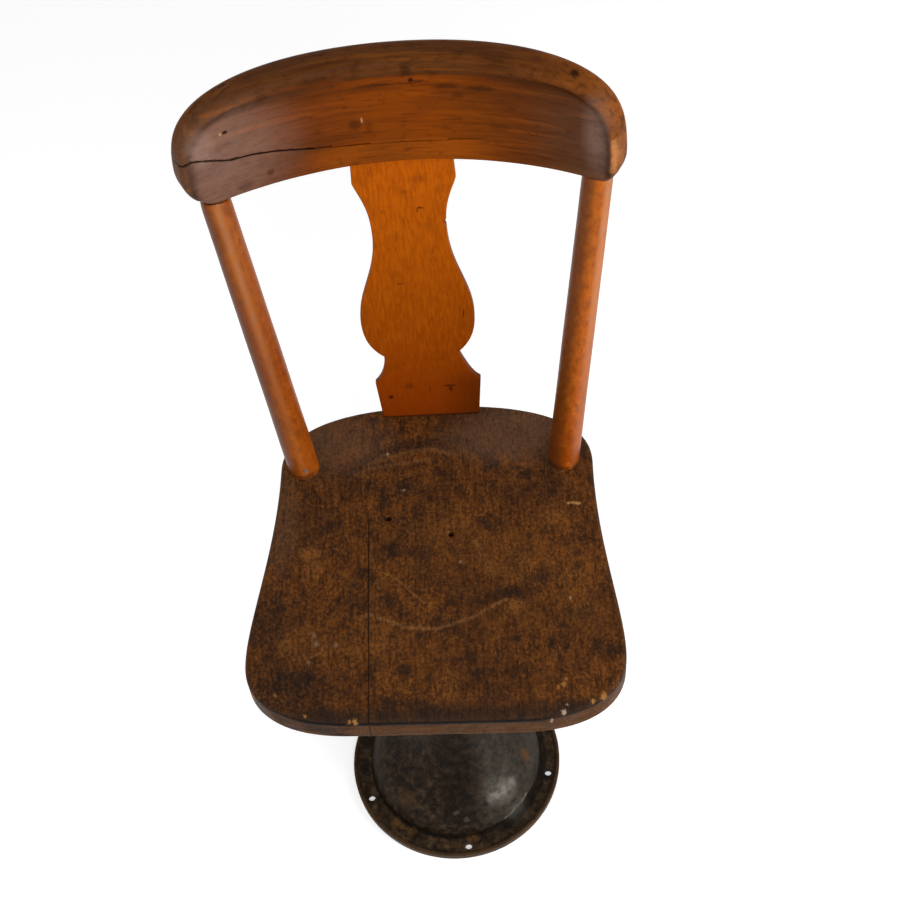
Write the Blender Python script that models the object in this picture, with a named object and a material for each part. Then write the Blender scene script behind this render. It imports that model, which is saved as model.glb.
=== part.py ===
"""An old wooden chair on a round cast-iron foot, as in schools, mess rooms and workshops.

A plank seat of three glued boards carries two turned posts and a flat vase-shaped splat, which
a bent crest rail joins at the top. Under the seat a cast bracket with four arms is screwed to
the boards and clamped on the column of the hollow bell-shaped pedestal.

Metres, +Z up. The chair is modelled round the pedestal's axis, facing -Y, and then moved so
that the origin is on the floor in the middle of its outline.
"""

import math

import bmesh
import bpy
from mathutils import Matrix, Vector
from mathutils.geometry import interpolate_bezier

# Fits and mesh fineness
CLEARANCE = 0.0003  # between pieces that touch, are glued or are driven in
MERGE = 0.000001
OVERRUN = 0.004  # how far a cutter runs past the face that it opens

# Seat
SEAT_TOP = 0.430
SEAT_THICKNESS = 0.033
SEAT_FRONT = 0.1525  # front edge, forward of the pedestal's axis
SEAT_BACK = 0.2325  # back edge, behind the axis
SEAT_FRONT_WIDTH = 0.386
SEAT_BACK_WIDTH = 0.339
SEAT_FRONT_CORNER = 0.075  # depth of the rounded front, along Y
SEAT_FRONT_FLAT = 0.158  # the front's part that is nearly straight, along X
SEAT_BACK_CORNER = 0.081
SEAT_CORNER_POWER = 2.4
SEAT_TOP_ROUND = 0.006
SEAT_BOTTOM_ROUND = 0.004
SEAT_LEFT_JOINT = 0.068  # joint between boards, left of the axis
SEAT_RIGHT_JOINT = 0.115
SEAT_JOINT_TURN = math.radians(1.2)  # the joints run a little askew
SEAT_TURN = math.radians(-1.1)  # and so does the seat, about the pedestal's axis
SEAT_SHIFT = 0.0012  # seat and back sit this far to the right of the axis
SEAT_HOLES = ((-0.047, 0.086), (0.019, 0.063))
SEAT_HOLE_DIAMETER = 0.007
SEAT_HOLE_DEPTH = 0.009

# Back
BACK_HEIGHT = 0.3636  # from the seat's top to the crest's lower edge
BACK_LEAN = 0.185  # backward for each metre of height
POST_SPACING = 0.2822  # between the posts' axes at the seat
POST_SET_BACK = 0.1578  # from the pedestal's axis to the posts at the seat
POST_INSET = 0.0278  # from the crest's ends to the posts' axes, along the curve
POST_FOOT_DIAMETER = 0.0335
POST_TOP_DIAMETER = 0.0295
POST_SOCKET_DEPTH = 0.020
TENON_DIAMETER = 0.018
TENON_LENGTH = 0.034
RACK_SHIFT = 0.002  # the old back leans to its left by this much at the crest
RACK_TILT = 0.022  # and the crest's right end stands higher
CREST_SHIFT = 0.0015  # the crest reaches further over the left post

# Crest rail
CREST_LENGTH = 0.4296  # along the curve
CREST_HEIGHT = 0.1094
CREST_THICKNESS = 0.032
CREST_RADIUS = 0.411
CREST_EDGE_ROUND = 0.0075
CREST_WIDEST_HEIGHT = 0.015
CREST_LOWER_CORNER = 0.031  # how far the lower corners are cut back
CREST_TOP_POWER = 4.1
CRACK_PATH = (  # along the crest from its left end, and height above its lower edge
    (-0.004, 0.066),
    (0.010, 0.0597),
    (0.030, 0.0536),
    (0.051, 0.0469),
    (0.070, 0.0452),
    (0.096, 0.0400),
    (0.132, 0.0320),
    (0.168, 0.0270),
)
CRACK_WIDTH = 0.0016  # at the end of the crest
CRACK_DEPTH = 0.012

# Splat
SPLAT_THICKNESS = 0.008
SPLAT_SET_BACK = 0.222  # from the pedestal's axis to the middle of the splat at the seat
SPLAT_TONGUE = 0.012  # length that is let into the seat and into the crest
SPLAT_FOOT_WIDTH = 0.106
SPLAT_FLARE_WIDTH = 0.1140
SPLAT_FLARE_HEIGHT = 0.054  # above the seat
SPLAT_WAIST_WIDTH = 0.0880
SPLAT_WAIST_HEIGHT = 0.096
SPLAT_BULGE_WIDTH = 0.1192
SPLAT_BULGE_HEIGHT = 0.150
SPLAT_NECK_WIDTH = 0.0758
SPLAT_NECK_DROP = 0.094  # below the crest
SPLAT_SHOULDER_WIDTH = 0.101
SPLAT_SHOULDER_DROP = 0.032
SPLAT_VASE_SHIFT = 0.0045  # above its waist the splat is cut off centre, to the left
SPLAT_EDGE_ROUND = 0.0012
CHIP_HEIGHT = 0.281  # the chip in the splat's right edge, above the seat
CHIP_LENGTH = 0.012
CHIP_DEPTH = 0.003

# Pedestal
FLANGE_DIAMETER = 0.254
FLANGE_THICKNESS = 0.0075
LIP_WIDTH = 0.006
LIP_HEIGHT = 0.0025  # above the flange
FLANGE_HOLES = 5
FLANGE_HOLE_DIAMETER = 0.0086
FLANGE_HOLE_CIRCLE = 0.2286
FLANGE_HOLE_TURN = math.radians(6.3)  # from straight ahead to the first hole
BELL_DIAMETER = 0.206
BELL_STEP = 0.004  # the bell's foot above the flange
BELL_HEIGHT = 0.165
BELL_SHOULDER_HANDLE = 0.075  # how high the bell stays wide
BELL_NECK_HANDLE = 0.110  # how far down the bell stays narrow
PEDESTAL_WALL = 0.007
COLUMN_DIAMETER = 0.060

# Bracket between column and seat
ARM_THICKNESS = 0.006
ARM_WIDTH = 0.034
SIDE_ARM_REACH = 0.148
FRONT_ARM_REACH = 0.108
BOSS_WALL = 0.010
BOSS_HEIGHT = 0.036
RIB_WIDTH = 0.007
RIB_HEIGHT = 0.022
SCREW_EDGE = 0.013  # from an arm's tip to its outer screw
SCREW_PITCH = 0.040
SCREW_LENGTH = 0.024
SCREW_HEAD_DIAMETER = 0.0095
SCREW_SHANK_DIAMETER = 0.0046
SCREW_HEAD_HEIGHT = 0.0026
SCREW_SLOT_WIDTH = 0.0012
SCREW_SLOT_DEPTH = 0.0012
SET_SCREW_DIAMETER = 0.008
SET_SCREW_HEAD = 0.012
SET_SCREW_HEAD_LENGTH = 0.008

# Nail through the foot of the left post
NAIL_HEIGHT = 0.012  # above the seat
NAIL_HEAD_DIAMETER = 0.005
NAIL_HEAD_HEIGHT = 0.001
NAIL_SHANK_DIAMETER = 0.0022
NAIL_LENGTH = 0.030
NAIL_SLOPE = math.radians(40)  # below level
NAIL_TURN = math.radians(20)  # round the post, from straight ahead towards its right

# Sizes that follow from those above
SEAT_UNDERSIDE = SEAT_TOP - SEAT_THICKNESS
CREST_BOTTOM = SEAT_TOP + BACK_HEIGHT
CREST_END = CREST_LENGTH / 2
POST_REACH = CREST_RADIUS * math.sin((CREST_END - POST_INSET) / CREST_RADIUS)
BACK_SPLAY = (POST_REACH - POST_SPACING / 2) / BACK_HEIGHT  # outward for each metre of height
ARM_TOP = SEAT_UNDERSIDE - CLEARANCE
COLUMN_TOP = ARM_TOP - ARM_THICKNESS - CLEARANCE


def post_place(height, side):
    """The point of a post's axis at this height above the seat; side is -1 on the left."""
    rack = RACK_SHIFT * height / BACK_HEIGHT
    across = SEAT_SHIFT + side * (POST_SPACING / 2 + BACK_SPLAY * height) - rack
    return Vector((across, POST_SET_BACK + BACK_LEAN * height, SEAT_TOP + height))


def crest_middle():
    """The crest's lower edge at its middle, placed so that the posts enter the curve's centre."""
    post = post_place(BACK_HEIGHT, 1)
    bow = CREST_RADIUS - math.sqrt(CREST_RADIUS**2 - POST_REACH**2)
    return Vector((post.x - POST_REACH - CREST_SHIFT, post.y + bow, CREST_BOTTOM))


CREST_PLACE = crest_middle()
SPLAT_FOOT = Vector((0, SPLAT_SET_BACK, SEAT_TOP))
SPLAT_HEAD = Vector((0, CREST_PLACE.y, CREST_BOTTOM))
SPLAT_HEIGHT = (SPLAT_HEAD - SPLAT_FOOT).length


def clear_scene():
    for old in list(bpy.data.objects):
        bpy.data.objects.remove(old)


def material(name, colour, roughness, metallic=0.0):
    made = bpy.data.materials.new(name)
    made.use_nodes = True
    shader = made.node_tree.nodes["Principled BSDF"]
    shader.inputs["Base Color"].default_value = (*colour, 1)
    shader.inputs["Roughness"].default_value = roughness
    shader.inputs["Metallic"].default_value = metallic
    made.diffuse_color = (*colour, 1)
    return made


def add_object(name, mesh_data, surface=None):
    """Makes an object of a bmesh. Without a surface it is a cutter or a helper, left out of the chair."""
    mesh_data.normal_update()
    bmesh.ops.recalc_face_normals(mesh_data, faces=mesh_data.faces)
    mesh = bpy.data.meshes.new(name)
    mesh_data.to_mesh(mesh)
    mesh_data.free()
    made = bpy.data.objects.new(name, mesh)
    bpy.context.scene.collection.objects.link(made)
    made.parent = CHAIR
    if surface is None:
        made.hide_render = True
        made.display_type = "WIRE"
    else:
        mesh.materials.append(surface)
        mesh.shade_smooth()
        mesh.set_sharp_from_angle(angle=math.radians(35))
    return made


def turned(outline, steps):
    """A bmesh turned round Z from (radius, height) points, which close on themselves or on the axis."""
    made = bmesh.new()
    points = [made.verts.new((radius, 0, height)) for radius, height in outline]
    edges = [made.edges.new(pair) for pair in zip(points, points[1:])]
    bmesh.ops.spin(
        made,
        geom=points + edges,
        axis=(0, 0, 1),
        cent=(0, 0, 0),
        angle=2 * math.pi,
        steps=steps,
        use_merge=True,
    )
    bmesh.ops.remove_doubles(made, verts=made.verts, dist=MERGE)
    return made


def rod(diameter, low, high, steps=24):
    """A round bar along Z."""
    radius = diameter / 2
    return turned(((0, low), (radius, low), (radius, high), (0, high)), steps)


def extruded(outline, low, high):
    """A bmesh of an outline in X and Y, raised from low to high."""
    made = bmesh.new()
    points = [made.verts.new((x, y, low)) for x, y in outline]
    face = made.faces.new(points)
    raised = bmesh.ops.extrude_face_region(made, geom=[face])["geom"]
    top = [item for item in raised if isinstance(item, bmesh.types.BMVert)]
    bmesh.ops.translate(made, verts=top, vec=(0, 0, high - low))
    bmesh.ops.recalc_face_normals(made, faces=made.faces)
    return made


def block(size, centre):
    made = bmesh.new()
    bmesh.ops.create_cube(made, size=1)
    bmesh.ops.scale(made, verts=made.verts, vec=size)
    bmesh.ops.translate(made, verts=made.verts, vec=centre)
    return made


def round_rim(made, height, radius, segments):
    """Rounds the edges of the flat faces at this height."""
    rim = [
        edge
        for edge in made.edges
        if all(abs(point.co.z - height) < MERGE for point in edge.verts)
    ]
    bmesh.ops.bevel(
        made, geom=rim, offset=radius, segments=segments, profile=0.5, affect="EDGES"
    )


def frame_towards(start, end):
    """A placing with its origin at start, its Z towards end and its X near the chair's X."""
    up = (end - start).normalized()
    across = Vector((0, 1, 0)).cross(up).normalized()
    forward = up.cross(across)
    turn = Matrix((across, forward, up)).transposed().to_4x4()
    return Matrix.Translation(start) @ turn


def boolean(piece, other, operation):
    step = piece.modifiers.new(other.name, "BOOLEAN")
    step.operation = operation
    step.solver = "EXACT"
    step.object = other


def cut(piece, *cutters):
    for cutter in cutters:
        boolean(piece, cutter, "DIFFERENCE")


def join(piece, *others):
    for other in others:
        boolean(piece, other, "UNION")


def corner_curve(centre, half_width, depth, steps):
    """A quarter of a rounded corner, from its side to the middle of the front or back edge."""
    points = []
    for step in range(steps + 1):
        angle = math.pi / 2 * step / steps
        across = half_width * math.cos(angle) ** (2 / SEAT_CORNER_POWER)
        along = depth * math.sin(angle) ** (2 / SEAT_CORNER_POWER)
        points.append((centre[0] + across, centre[1] + along))
    return points


def seat_outline():
    """The seat from above: rounded front, sides that narrow backwards, bowed back."""
    front_half = SEAT_FRONT_WIDTH / 2
    back_half = SEAT_BACK_WIDTH / 2
    widest = -SEAT_FRONT + SEAT_FRONT_CORNER
    narrowest = SEAT_BACK - SEAT_BACK_CORNER
    flat = SEAT_FRONT_FLAT / 2
    front = corner_curve((flat, widest), front_half - flat, -SEAT_FRONT_CORNER, 12)
    back = corner_curve((0, narrowest), back_half, SEAT_BACK_CORNER, 14)
    run = narrowest - widest
    side = interpolate_bezier(
        Vector((front_half, widest)),
        Vector((front_half, widest + 0.22 * run)),
        Vector((back_half, narrowest - 0.44 * run)),
        Vector((back_half, narrowest)),
        10,
    )
    right = front[::-1] + [tuple(point) for point in side[1:-1]] + back[:-1]
    left = [(-x, y) for x, y in right[::-1]]
    turn = Matrix.Rotation(SEAT_TURN, 2)
    shift = Vector((SEAT_SHIFT, 0))
    return [tuple(turn @ Vector(point) + shift) for point in right + [back[-1]] + left]


def cap_open_side(made):
    """Closes the side that a plane has just cut open."""
    rim = [edge for edge in made.edges if edge.is_boundary]
    bmesh.ops.edgeloop_fill(made, edges=rim)


def make_seat_board(name, left, right, surface):
    """The part of the seat between two joints; None is the seat's own edge."""
    made = extruded(seat_outline(), SEAT_UNDERSIDE, SEAT_TOP)
    round_rim(made, SEAT_TOP, SEAT_TOP_ROUND, 3)
    round_rim(made, SEAT_UNDERSIDE, SEAT_BOTTOM_ROUND, 2)
    for joint, side in ((left, -1), (right, 1)):
        if joint is None:
            continue
        away = Vector((side * math.cos(SEAT_JOINT_TURN), side * math.sin(SEAT_JOINT_TURN), 0))
        bmesh.ops.bisect_plane(
            made,
            geom=made.verts[:] + made.edges[:] + made.faces[:],
            plane_co=Vector((joint, 0, 0)) - away * CLEARANCE / 2,
            plane_no=away,
            clear_outer=True,
        )
        cap_open_side(made)
    return add_object(name, made, surface)


def crest_outline(grow):
    """The crest on its flat board: (distance along, height), anticlockwise from the lower right."""
    end = CREST_END + grow
    top = CREST_HEIGHT + grow
    right = []
    for step in range(5):
        share = 1 - step / 5
        height = CREST_WIDEST_HEIGHT * (1 - share) - grow * share
        right.append((end - CREST_LOWER_CORNER * share**2, height))
    for step in range(13):
        angle = math.pi / 2 * step / 12
        along = end * math.cos(angle) ** (2 / CREST_TOP_POWER)
        rise = math.sin(angle) ** (2 / CREST_TOP_POWER)
        right.append((along, CREST_WIDEST_HEIGHT + (top - CREST_WIDEST_HEIGHT) * rise))
    left = [(-along, height) for along, height in right[-2::-1]]
    return right + left


def bend(along, depth, height):
    """A point of the crest's flat board, bent to its curve and leaning back; depth 0 is its middle."""
    angle = along / CREST_RADIUS
    radius = CREST_RADIUS + depth
    back = radius * math.cos(angle) - CREST_RADIUS
    return Vector((radius * math.sin(angle), back + BACK_LEAN * height, height))


def crest_placing():
    """Where the crest sits: shifted and tilted to the left with the rest of the old back."""
    tilt = Matrix.Rotation(-math.atan(RACK_TILT), 4, "Y")
    return Matrix.Translation(CREST_PLACE) @ tilt


def make_crest(name, surface, grow=0.0):
    half = CREST_THICKNESS / 2 + grow
    made = extruded(crest_outline(grow), -half, half)
    for side in (-half, half):
        round_rim(made, side, CREST_EDGE_ROUND, 3)
    strips = 24
    for strip in range(1, strips):
        bmesh.ops.bisect_plane(
            made,
            geom=made.verts[:] + made.edges[:] + made.faces[:],
            plane_co=(CREST_LENGTH * (strip / strips - 0.5), 0, 0),
            plane_no=(1, 0, 0),
        )
    for point in made.verts:
        along, height, depth = point.co
        point.co = bend(along, depth, height)
    crest = add_object(name, made, surface)
    crest.matrix_local = crest_placing()
    return crest


def make_crack():
    """A long V-shaped split from the crest's left end, narrowing and growing shallow inwards."""
    made = bmesh.new()
    face = -CREST_THICKNESS / 2
    rings = []
    last = CRACK_PATH[-1][0]
    for along, height in CRACK_PATH:
        share = 1 - along / last
        half_width = CRACK_WIDTH / 2 * (0.15 + 0.85 * share)
        deep = face + CRACK_DEPTH * (0.15 + 0.85 * share)
        place = along - CREST_END
        corners = (
            (face - OVERRUN, height + half_width),
            (face - OVERRUN, height - half_width),
            (deep, height),
        )
        rings.append([made.verts.new(bend(place, depth, up)) for depth, up in corners])
    for first, second in zip(rings, rings[1:]):
        for i in range(3):
            j = (i + 1) % 3
            made.faces.new((first[i], first[j], second[j], second[i]))
    made.faces.new(rings[0][::-1])
    made.faces.new(rings[-1])
    crack = add_object("crack_cutter", made)
    crack.matrix_local = crest_placing()
    return crack


def post_stretch(side):
    """The length along a post's leaning axis for each metre of height."""
    return (post_place(1, side) - post_place(0, side)).length


def post_radius(height):
    """The post tapers evenly from the seat to the crest."""
    share = height / BACK_HEIGHT
    return (POST_FOOT_DIAMETER * (1 - share) + POST_TOP_DIAMETER * share) / 2


def make_post(name, side, crest_form, surface):
    """A turned post, coped to the crest's underside, with a tenon that goes up into it."""
    stretch = post_stretch(side)
    low = -POST_SOCKET_DEPTH
    high = BACK_HEIGHT + CREST_WIDEST_HEIGHT
    outline = [(0, low * stretch), (post_radius(0), low * stretch)]
    for step in range(7):
        height = high * step / 6
        outline.append((post_radius(height), height * stretch))
    outline.append((0, high * stretch))
    placing = frame_towards(post_place(0, side), post_place(BACK_HEIGHT, side))
    post = add_object(name, turned(outline, 28), surface)
    post.matrix_local = placing
    tenon_top = (BACK_HEIGHT + TENON_LENGTH) * stretch
    tenon_low = BACK_HEIGHT * stretch - TENON_LENGTH
    tenon = add_object(name + "_tenon", rod(TENON_DIAMETER, tenon_low, tenon_top))
    tenon.matrix_local = placing
    cut(post, crest_form)
    join(post, tenon)
    return post


def make_post_sockets(side):
    """Cutters for a post's foot in the seat and for its tenon in the crest."""
    stretch = post_stretch(side)
    placing = frame_towards(post_place(0, side), post_place(BACK_HEIGHT, side))
    foot = rod(
        POST_FOOT_DIAMETER + 2 * CLEARANCE,
        -POST_SOCKET_DEPTH * stretch - CLEARANCE,
        POST_FOOT_DIAMETER,
        28,
    )
    tenon = rod(
        TENON_DIAMETER + 2 * CLEARANCE,
        BACK_HEIGHT * stretch - TENON_LENGTH,
        (BACK_HEIGHT + TENON_LENGTH) * stretch + CLEARANCE,
    )
    cutters = []
    for name, made in (("foot_socket", foot), ("tenon_socket", tenon)):
        cutter = add_object(f"{name}_{side}", made)
        cutter.matrix_local = placing
        cutters.append(cutter)
    return cutters


def curve_between(start, start_handle, end_handle, end, steps):
    """The points of a bezier in (half width, height), without its last one."""
    ends = (Vector(point) for point in (start, start_handle, end_handle, end))
    return [tuple(point) for point in interpolate_bezier(*ends, steps + 1)[:-1]]


def vase_shift(height):
    """How far the outline's middle lies to the side at this height."""
    return -SPLAT_VASE_SHIFT if height >= SPLAT_WAIST_HEIGHT else 0


def splat_edge():
    """The splat's right edge from its foot to its top, as (half width, height above the seat)."""
    foot = SPLAT_FOOT_WIDTH / 2
    flare = SPLAT_FLARE_WIDTH / 2
    waist = SPLAT_WAIST_WIDTH / 2
    bulge = SPLAT_BULGE_WIDTH / 2
    neck = SPLAT_NECK_WIDTH / 2
    shoulder = SPLAT_SHOULDER_WIDTH / 2
    neck_height = SPLAT_HEIGHT - SPLAT_NECK_DROP
    shoulder_height = SPLAT_HEIGHT - SPLAT_SHOULDER_DROP
    top = SPLAT_HEIGHT + SPLAT_TONGUE
    scoop = SPLAT_WAIST_HEIGHT - SPLAT_FLARE_HEIGHT
    swell = SPLAT_BULGE_HEIGHT - SPLAT_WAIST_HEIGHT
    taper = neck_height - SPLAT_BULGE_HEIGHT
    rise = shoulder_height - neck_height
    edge = [(foot, -SPLAT_TONGUE), (foot, 0)]
    edge += curve_between(
        (flare, SPLAT_FLARE_HEIGHT),
        (flare - 0.45 * (flare - waist), SPLAT_FLARE_HEIGHT + 0.15 * scoop),
        (waist, SPLAT_WAIST_HEIGHT - 0.60 * scoop),
        (waist, SPLAT_WAIST_HEIGHT),
        6,
    )
    edge += curve_between(
        (waist, SPLAT_WAIST_HEIGHT),
        (waist + 0.60 * (bulge - waist), SPLAT_WAIST_HEIGHT + 0.22 * swell),
        (bulge, SPLAT_BULGE_HEIGHT - 0.50 * swell),
        (bulge, SPLAT_BULGE_HEIGHT),
        7,
    )
    edge += curve_between(
        (bulge, SPLAT_BULGE_HEIGHT),
        (bulge, SPLAT_BULGE_HEIGHT + 0.36 * taper),
        (neck, neck_height - 0.46 * taper),
        (neck, neck_height),
        11,
    )
    edge += curve_between(
        (neck, neck_height),
        (neck, neck_height + 0.55 * rise),
        (shoulder - 0.35 * (shoulder - neck), shoulder_height - 0.25 * rise),
        (shoulder, shoulder_height),
        7,
    )
    return edge + [(shoulder, shoulder_height), (shoulder, top)]


def make_chip():
    """A three-sided sliver knocked out of the splat's right edge, at its neck."""
    neck = SPLAT_NECK_WIDTH / 2 - SPLAT_VASE_SHIFT
    inner = neck - CHIP_DEPTH
    outer = neck + OVERRUN
    outline = (
        (inner, CHIP_HEIGHT),
        (outer, CHIP_HEIGHT - CHIP_LENGTH),
        (outer, CHIP_HEIGHT + CHIP_LENGTH / 3),
    )
    half = SPLAT_THICKNESS / 2 + OVERRUN
    return add_object("chip_cutter", extruded(outline, -half, half))


def splat_placing():
    """Splat outlines are drawn in X and Y, and stand up here: Y becomes the height."""
    stand = Matrix.Rotation(math.pi / 2, 4, "X")
    return frame_towards(SPLAT_FOOT, SPLAT_HEAD) @ stand


def make_splat(surface):
    edge = splat_edge()
    right = [(across + vase_shift(height), height) for across, height in edge]
    left = [(-across + vase_shift(height), height) for across, height in edge[::-1]]
    half = SPLAT_THICKNESS / 2
    made = extruded(right + left, -half, half)
    for side in (-half, half):
        round_rim(made, side, SPLAT_EDGE_ROUND, 1)
    splat = add_object("splat", made, surface)
    chip = make_chip()
    for piece in (splat, chip):
        piece.matrix_local = splat_placing()
    cut(splat, chip)


def make_splat_mortises():
    """Slots for the splat's tongues, in the seat and in the crest."""
    slots = []
    for name, width, across, middle in (
        ("seat_mortise", SPLAT_FOOT_WIDTH, 0, 0),
        ("crest_mortise", SPLAT_SHOULDER_WIDTH, -SPLAT_VASE_SHIFT, SPLAT_HEIGHT),
    ):
        reach = 2 * (SPLAT_TONGUE + CLEARANCE)
        size = (width + 2 * CLEARANCE, reach, SPLAT_THICKNESS + 2 * CLEARANCE)
        slot = add_object(name, block(size, (across, middle, 0)))
        slot.matrix_local = splat_placing()
        slots.append(slot)
    return slots


def bell_curve():
    """The bell's outer line from its foot to the column, as (radius, height)."""
    foot = BELL_DIAMETER / 2
    neck = COLUMN_DIAMETER / 2
    low = FLANGE_THICKNESS + BELL_STEP
    points = interpolate_bezier(
        Vector((foot, low)),
        Vector((foot, BELL_SHOULDER_HANDLE)),
        Vector((neck, BELL_HEIGHT - BELL_NECK_HANDLE)),
        Vector((neck, BELL_HEIGHT)),
        15,
    )
    return [tuple(point) for point in points]


def inner_wall(curve, wall):
    """The same line moved inwards by the wall."""
    moved = []
    for i, point in enumerate(curve):
        before = Vector(curve[max(i - 1, 0)])
        after = Vector(curve[min(i + 1, len(curve) - 1)])
        along = (after - before).normalized()
        moved.append((point[0] - wall * along.y, point[1] + wall * along.x))
    return moved


def make_pedestal(surface):
    """One hollow casting: flange with a raised lip, bell and column."""
    edge = FLANGE_DIAMETER / 2
    lip_top = FLANGE_THICKNESS + LIP_HEIGHT
    soften = LIP_HEIGHT / 2
    bell = bell_curve()
    cavity = inner_wall(bell, PEDESTAL_WALL)
    column = COLUMN_DIAMETER / 2
    bore = column - PEDESTAL_WALL
    outline = [(cavity[0][0], 0), (edge - soften, 0), (edge, soften)]
    outline += [(edge, lip_top - soften), (edge - soften, lip_top)]
    outline += [(edge - LIP_WIDTH + soften, lip_top), (edge - LIP_WIDTH, FLANGE_THICKNESS)]
    outline += [(BELL_DIAMETER / 2 + soften, FLANGE_THICKNESS)]
    outline += bell + [(column, COLUMN_TOP), (bore, COLUMN_TOP)]
    outline += cavity[::-1] + [(cavity[0][0], 0)]
    pedestal = add_object("pedestal", turned(outline, 60), surface)
    for number in range(FLANGE_HOLES):
        angle = FLANGE_HOLE_TURN + 2 * math.pi * number / FLANGE_HOLES
        hole = rod(FLANGE_HOLE_DIAMETER, -OVERRUN, lip_top + OVERRUN, 16)
        cutter = add_object(f"flange_hole_{number + 1}", hole)
        radius = FLANGE_HOLE_CIRCLE / 2
        cutter.location = (radius * math.sin(angle), -radius * math.cos(angle), 0)
        cut(pedestal, cutter)
    return pedestal


def arms():
    """Each arm's turn about the column and its reach: right, back, left, front."""
    reaches = (SIDE_ARM_REACH, FRONT_ARM_REACH, SIDE_ARM_REACH, FRONT_ARM_REACH)
    return [(math.pi / 2 * number, reach) for number, reach in enumerate(reaches)]


def arm_outline(reach):
    """An arm along +X, from the column's axis to its round tip."""
    half = ARM_WIDTH / 2
    points = [(0, -half)]
    for step in range(9):
        angle = math.pi * (step / 8 - 0.5)
        points.append((reach - half + half * math.cos(angle), half * math.sin(angle)))
    return points + [(0, half)]


def make_rib(reach):
    """The upright rib under an arm, deep at the boss and running out towards the first screw."""
    low = ARM_TOP - ARM_THICKNESS
    start = COLUMN_DIAMETER / 2 + BOSS_WALL / 2
    end = reach - SCREW_EDGE - SCREW_PITCH - SCREW_HEAD_DIAMETER
    overlap = ARM_THICKNESS / 2
    outline = ((start, low - RIB_HEIGHT), (end, low), (end, low + overlap), (start, low + overlap))
    made = extruded(outline, -RIB_WIDTH / 2, RIB_WIDTH / 2)
    bmesh.ops.rotate(
        made, verts=made.verts, cent=(0, 0, 0), matrix=Matrix.Rotation(math.pi / 2, 3, "X")
    )
    return made


def boss_radius():
    return COLUMN_DIAMETER / 2 + CLEARANCE + BOSS_WALL


def make_bracket(surface):
    """The cast bracket: four ribbed arms on a boss that fits over the column."""
    boss_low = ARM_TOP - ARM_THICKNESS - BOSS_HEIGHT
    bracket = add_object("seat_bracket", rod(2 * boss_radius(), boss_low, ARM_TOP, 48), surface)
    for number, (turn, reach) in enumerate(arms(), 1):
        arm = extruded(arm_outline(reach), ARM_TOP - ARM_THICKNESS, ARM_TOP)
        for name, made in (("arm", arm), ("rib", make_rib(reach))):
            part = add_object(f"{name}_{number}", made)
            part.rotation_euler.z = turn
            join(bracket, part)
    socket = rod(COLUMN_DIAMETER + 2 * CLEARANCE, boss_low - OVERRUN, COLUMN_TOP + CLEARANCE, 60)
    cut(bracket, add_object("column_socket", socket))
    return bracket


def screw_outline(grow):
    """A countersunk wood screw, head down at height 0, as (radius, height)."""
    head = SCREW_HEAD_DIAMETER / 2 + grow
    shank = SCREW_SHANK_DIAMETER / 2 + grow
    tip = SCREW_LENGTH + grow
    return (
        (0, -grow),
        (head, -grow),
        (shank, SCREW_HEAD_HEIGHT),
        (shank, tip - SCREW_SHANK_DIAMETER),
        (0, tip),
    )


def screw_places():
    """The eight screws under the seat, two on each arm."""
    places = []
    for turn, reach in arms():
        for distance in (reach - SCREW_EDGE, reach - SCREW_EDGE - SCREW_PITCH):
            x = distance * math.cos(turn)
            y = distance * math.sin(turn)
            places.append(Vector((x, y, ARM_TOP - ARM_THICKNESS)))
    return places


def make_bracket_screws(surface):
    """The screws, and the holes that they pass through."""
    holes = []
    for number, place in enumerate(screw_places(), 1):
        screw = add_object(f"bracket_screw_{number}", turned(screw_outline(0), 12), surface)
        slot_size = (2 * SCREW_HEAD_DIAMETER, SCREW_SLOT_WIDTH, 2 * SCREW_SLOT_DEPTH)
        slot = add_object(f"screw_slot_{number}", block(slot_size, (0, 0, 0)))
        hole = add_object(f"screw_hole_{number}", turned(screw_outline(CLEARANCE), 12))
        for item in (screw, slot, hole):
            item.location = place
        slot.rotation_euler.z = number
        cut(screw, slot)
        holes.append(hole)
    return holes


def make_set_screw(surface):
    """The square-headed screw that clamps the boss on the column, and its hole."""
    start = COLUMN_DIAMETER / 2 + CLEARANCE
    head_start = boss_radius() + CLEARANCE
    height = ARM_TOP - ARM_THICKNESS - BOSS_HEIGHT / 2
    turn = Matrix.Rotation(math.radians(45), 4, "Z") @ Matrix.Rotation(math.pi / 2, 4, "Y")
    placing = Matrix.Translation((0, 0, height)) @ turn
    screw = add_object(
        "bracket_set_screw", rod(SET_SCREW_DIAMETER, start, head_start + OVERRUN), surface
    )
    middle = head_start + SET_SCREW_HEAD_LENGTH / 2
    head_size = (SET_SCREW_HEAD, SET_SCREW_HEAD, SET_SCREW_HEAD_LENGTH)
    head = add_object("set_screw_head", block(head_size, (0, 0, middle)))
    hole_diameter = SET_SCREW_DIAMETER + 2 * CLEARANCE
    hole_start = start - BOSS_WALL / 2
    hole = add_object("set_screw_hole", rod(hole_diameter, hole_start, head_start + OVERRUN))
    for item in (screw, head, hole):
        item.matrix_local = placing
    join(screw, head)
    return hole


def nail_outline(grow):
    """A flat-headed nail, driven along +Z from height 0, as (radius, height)."""
    head = NAIL_HEAD_DIAMETER / 2 + grow
    shank = NAIL_SHANK_DIAMETER / 2 + grow
    return (
        (0, -NAIL_HEAD_HEIGHT - grow),
        (head, -NAIL_HEAD_HEIGHT - grow),
        (head, grow),
        (shank, grow),
        (shank, NAIL_LENGTH),
        (0, NAIL_LENGTH + grow),
    )


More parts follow.
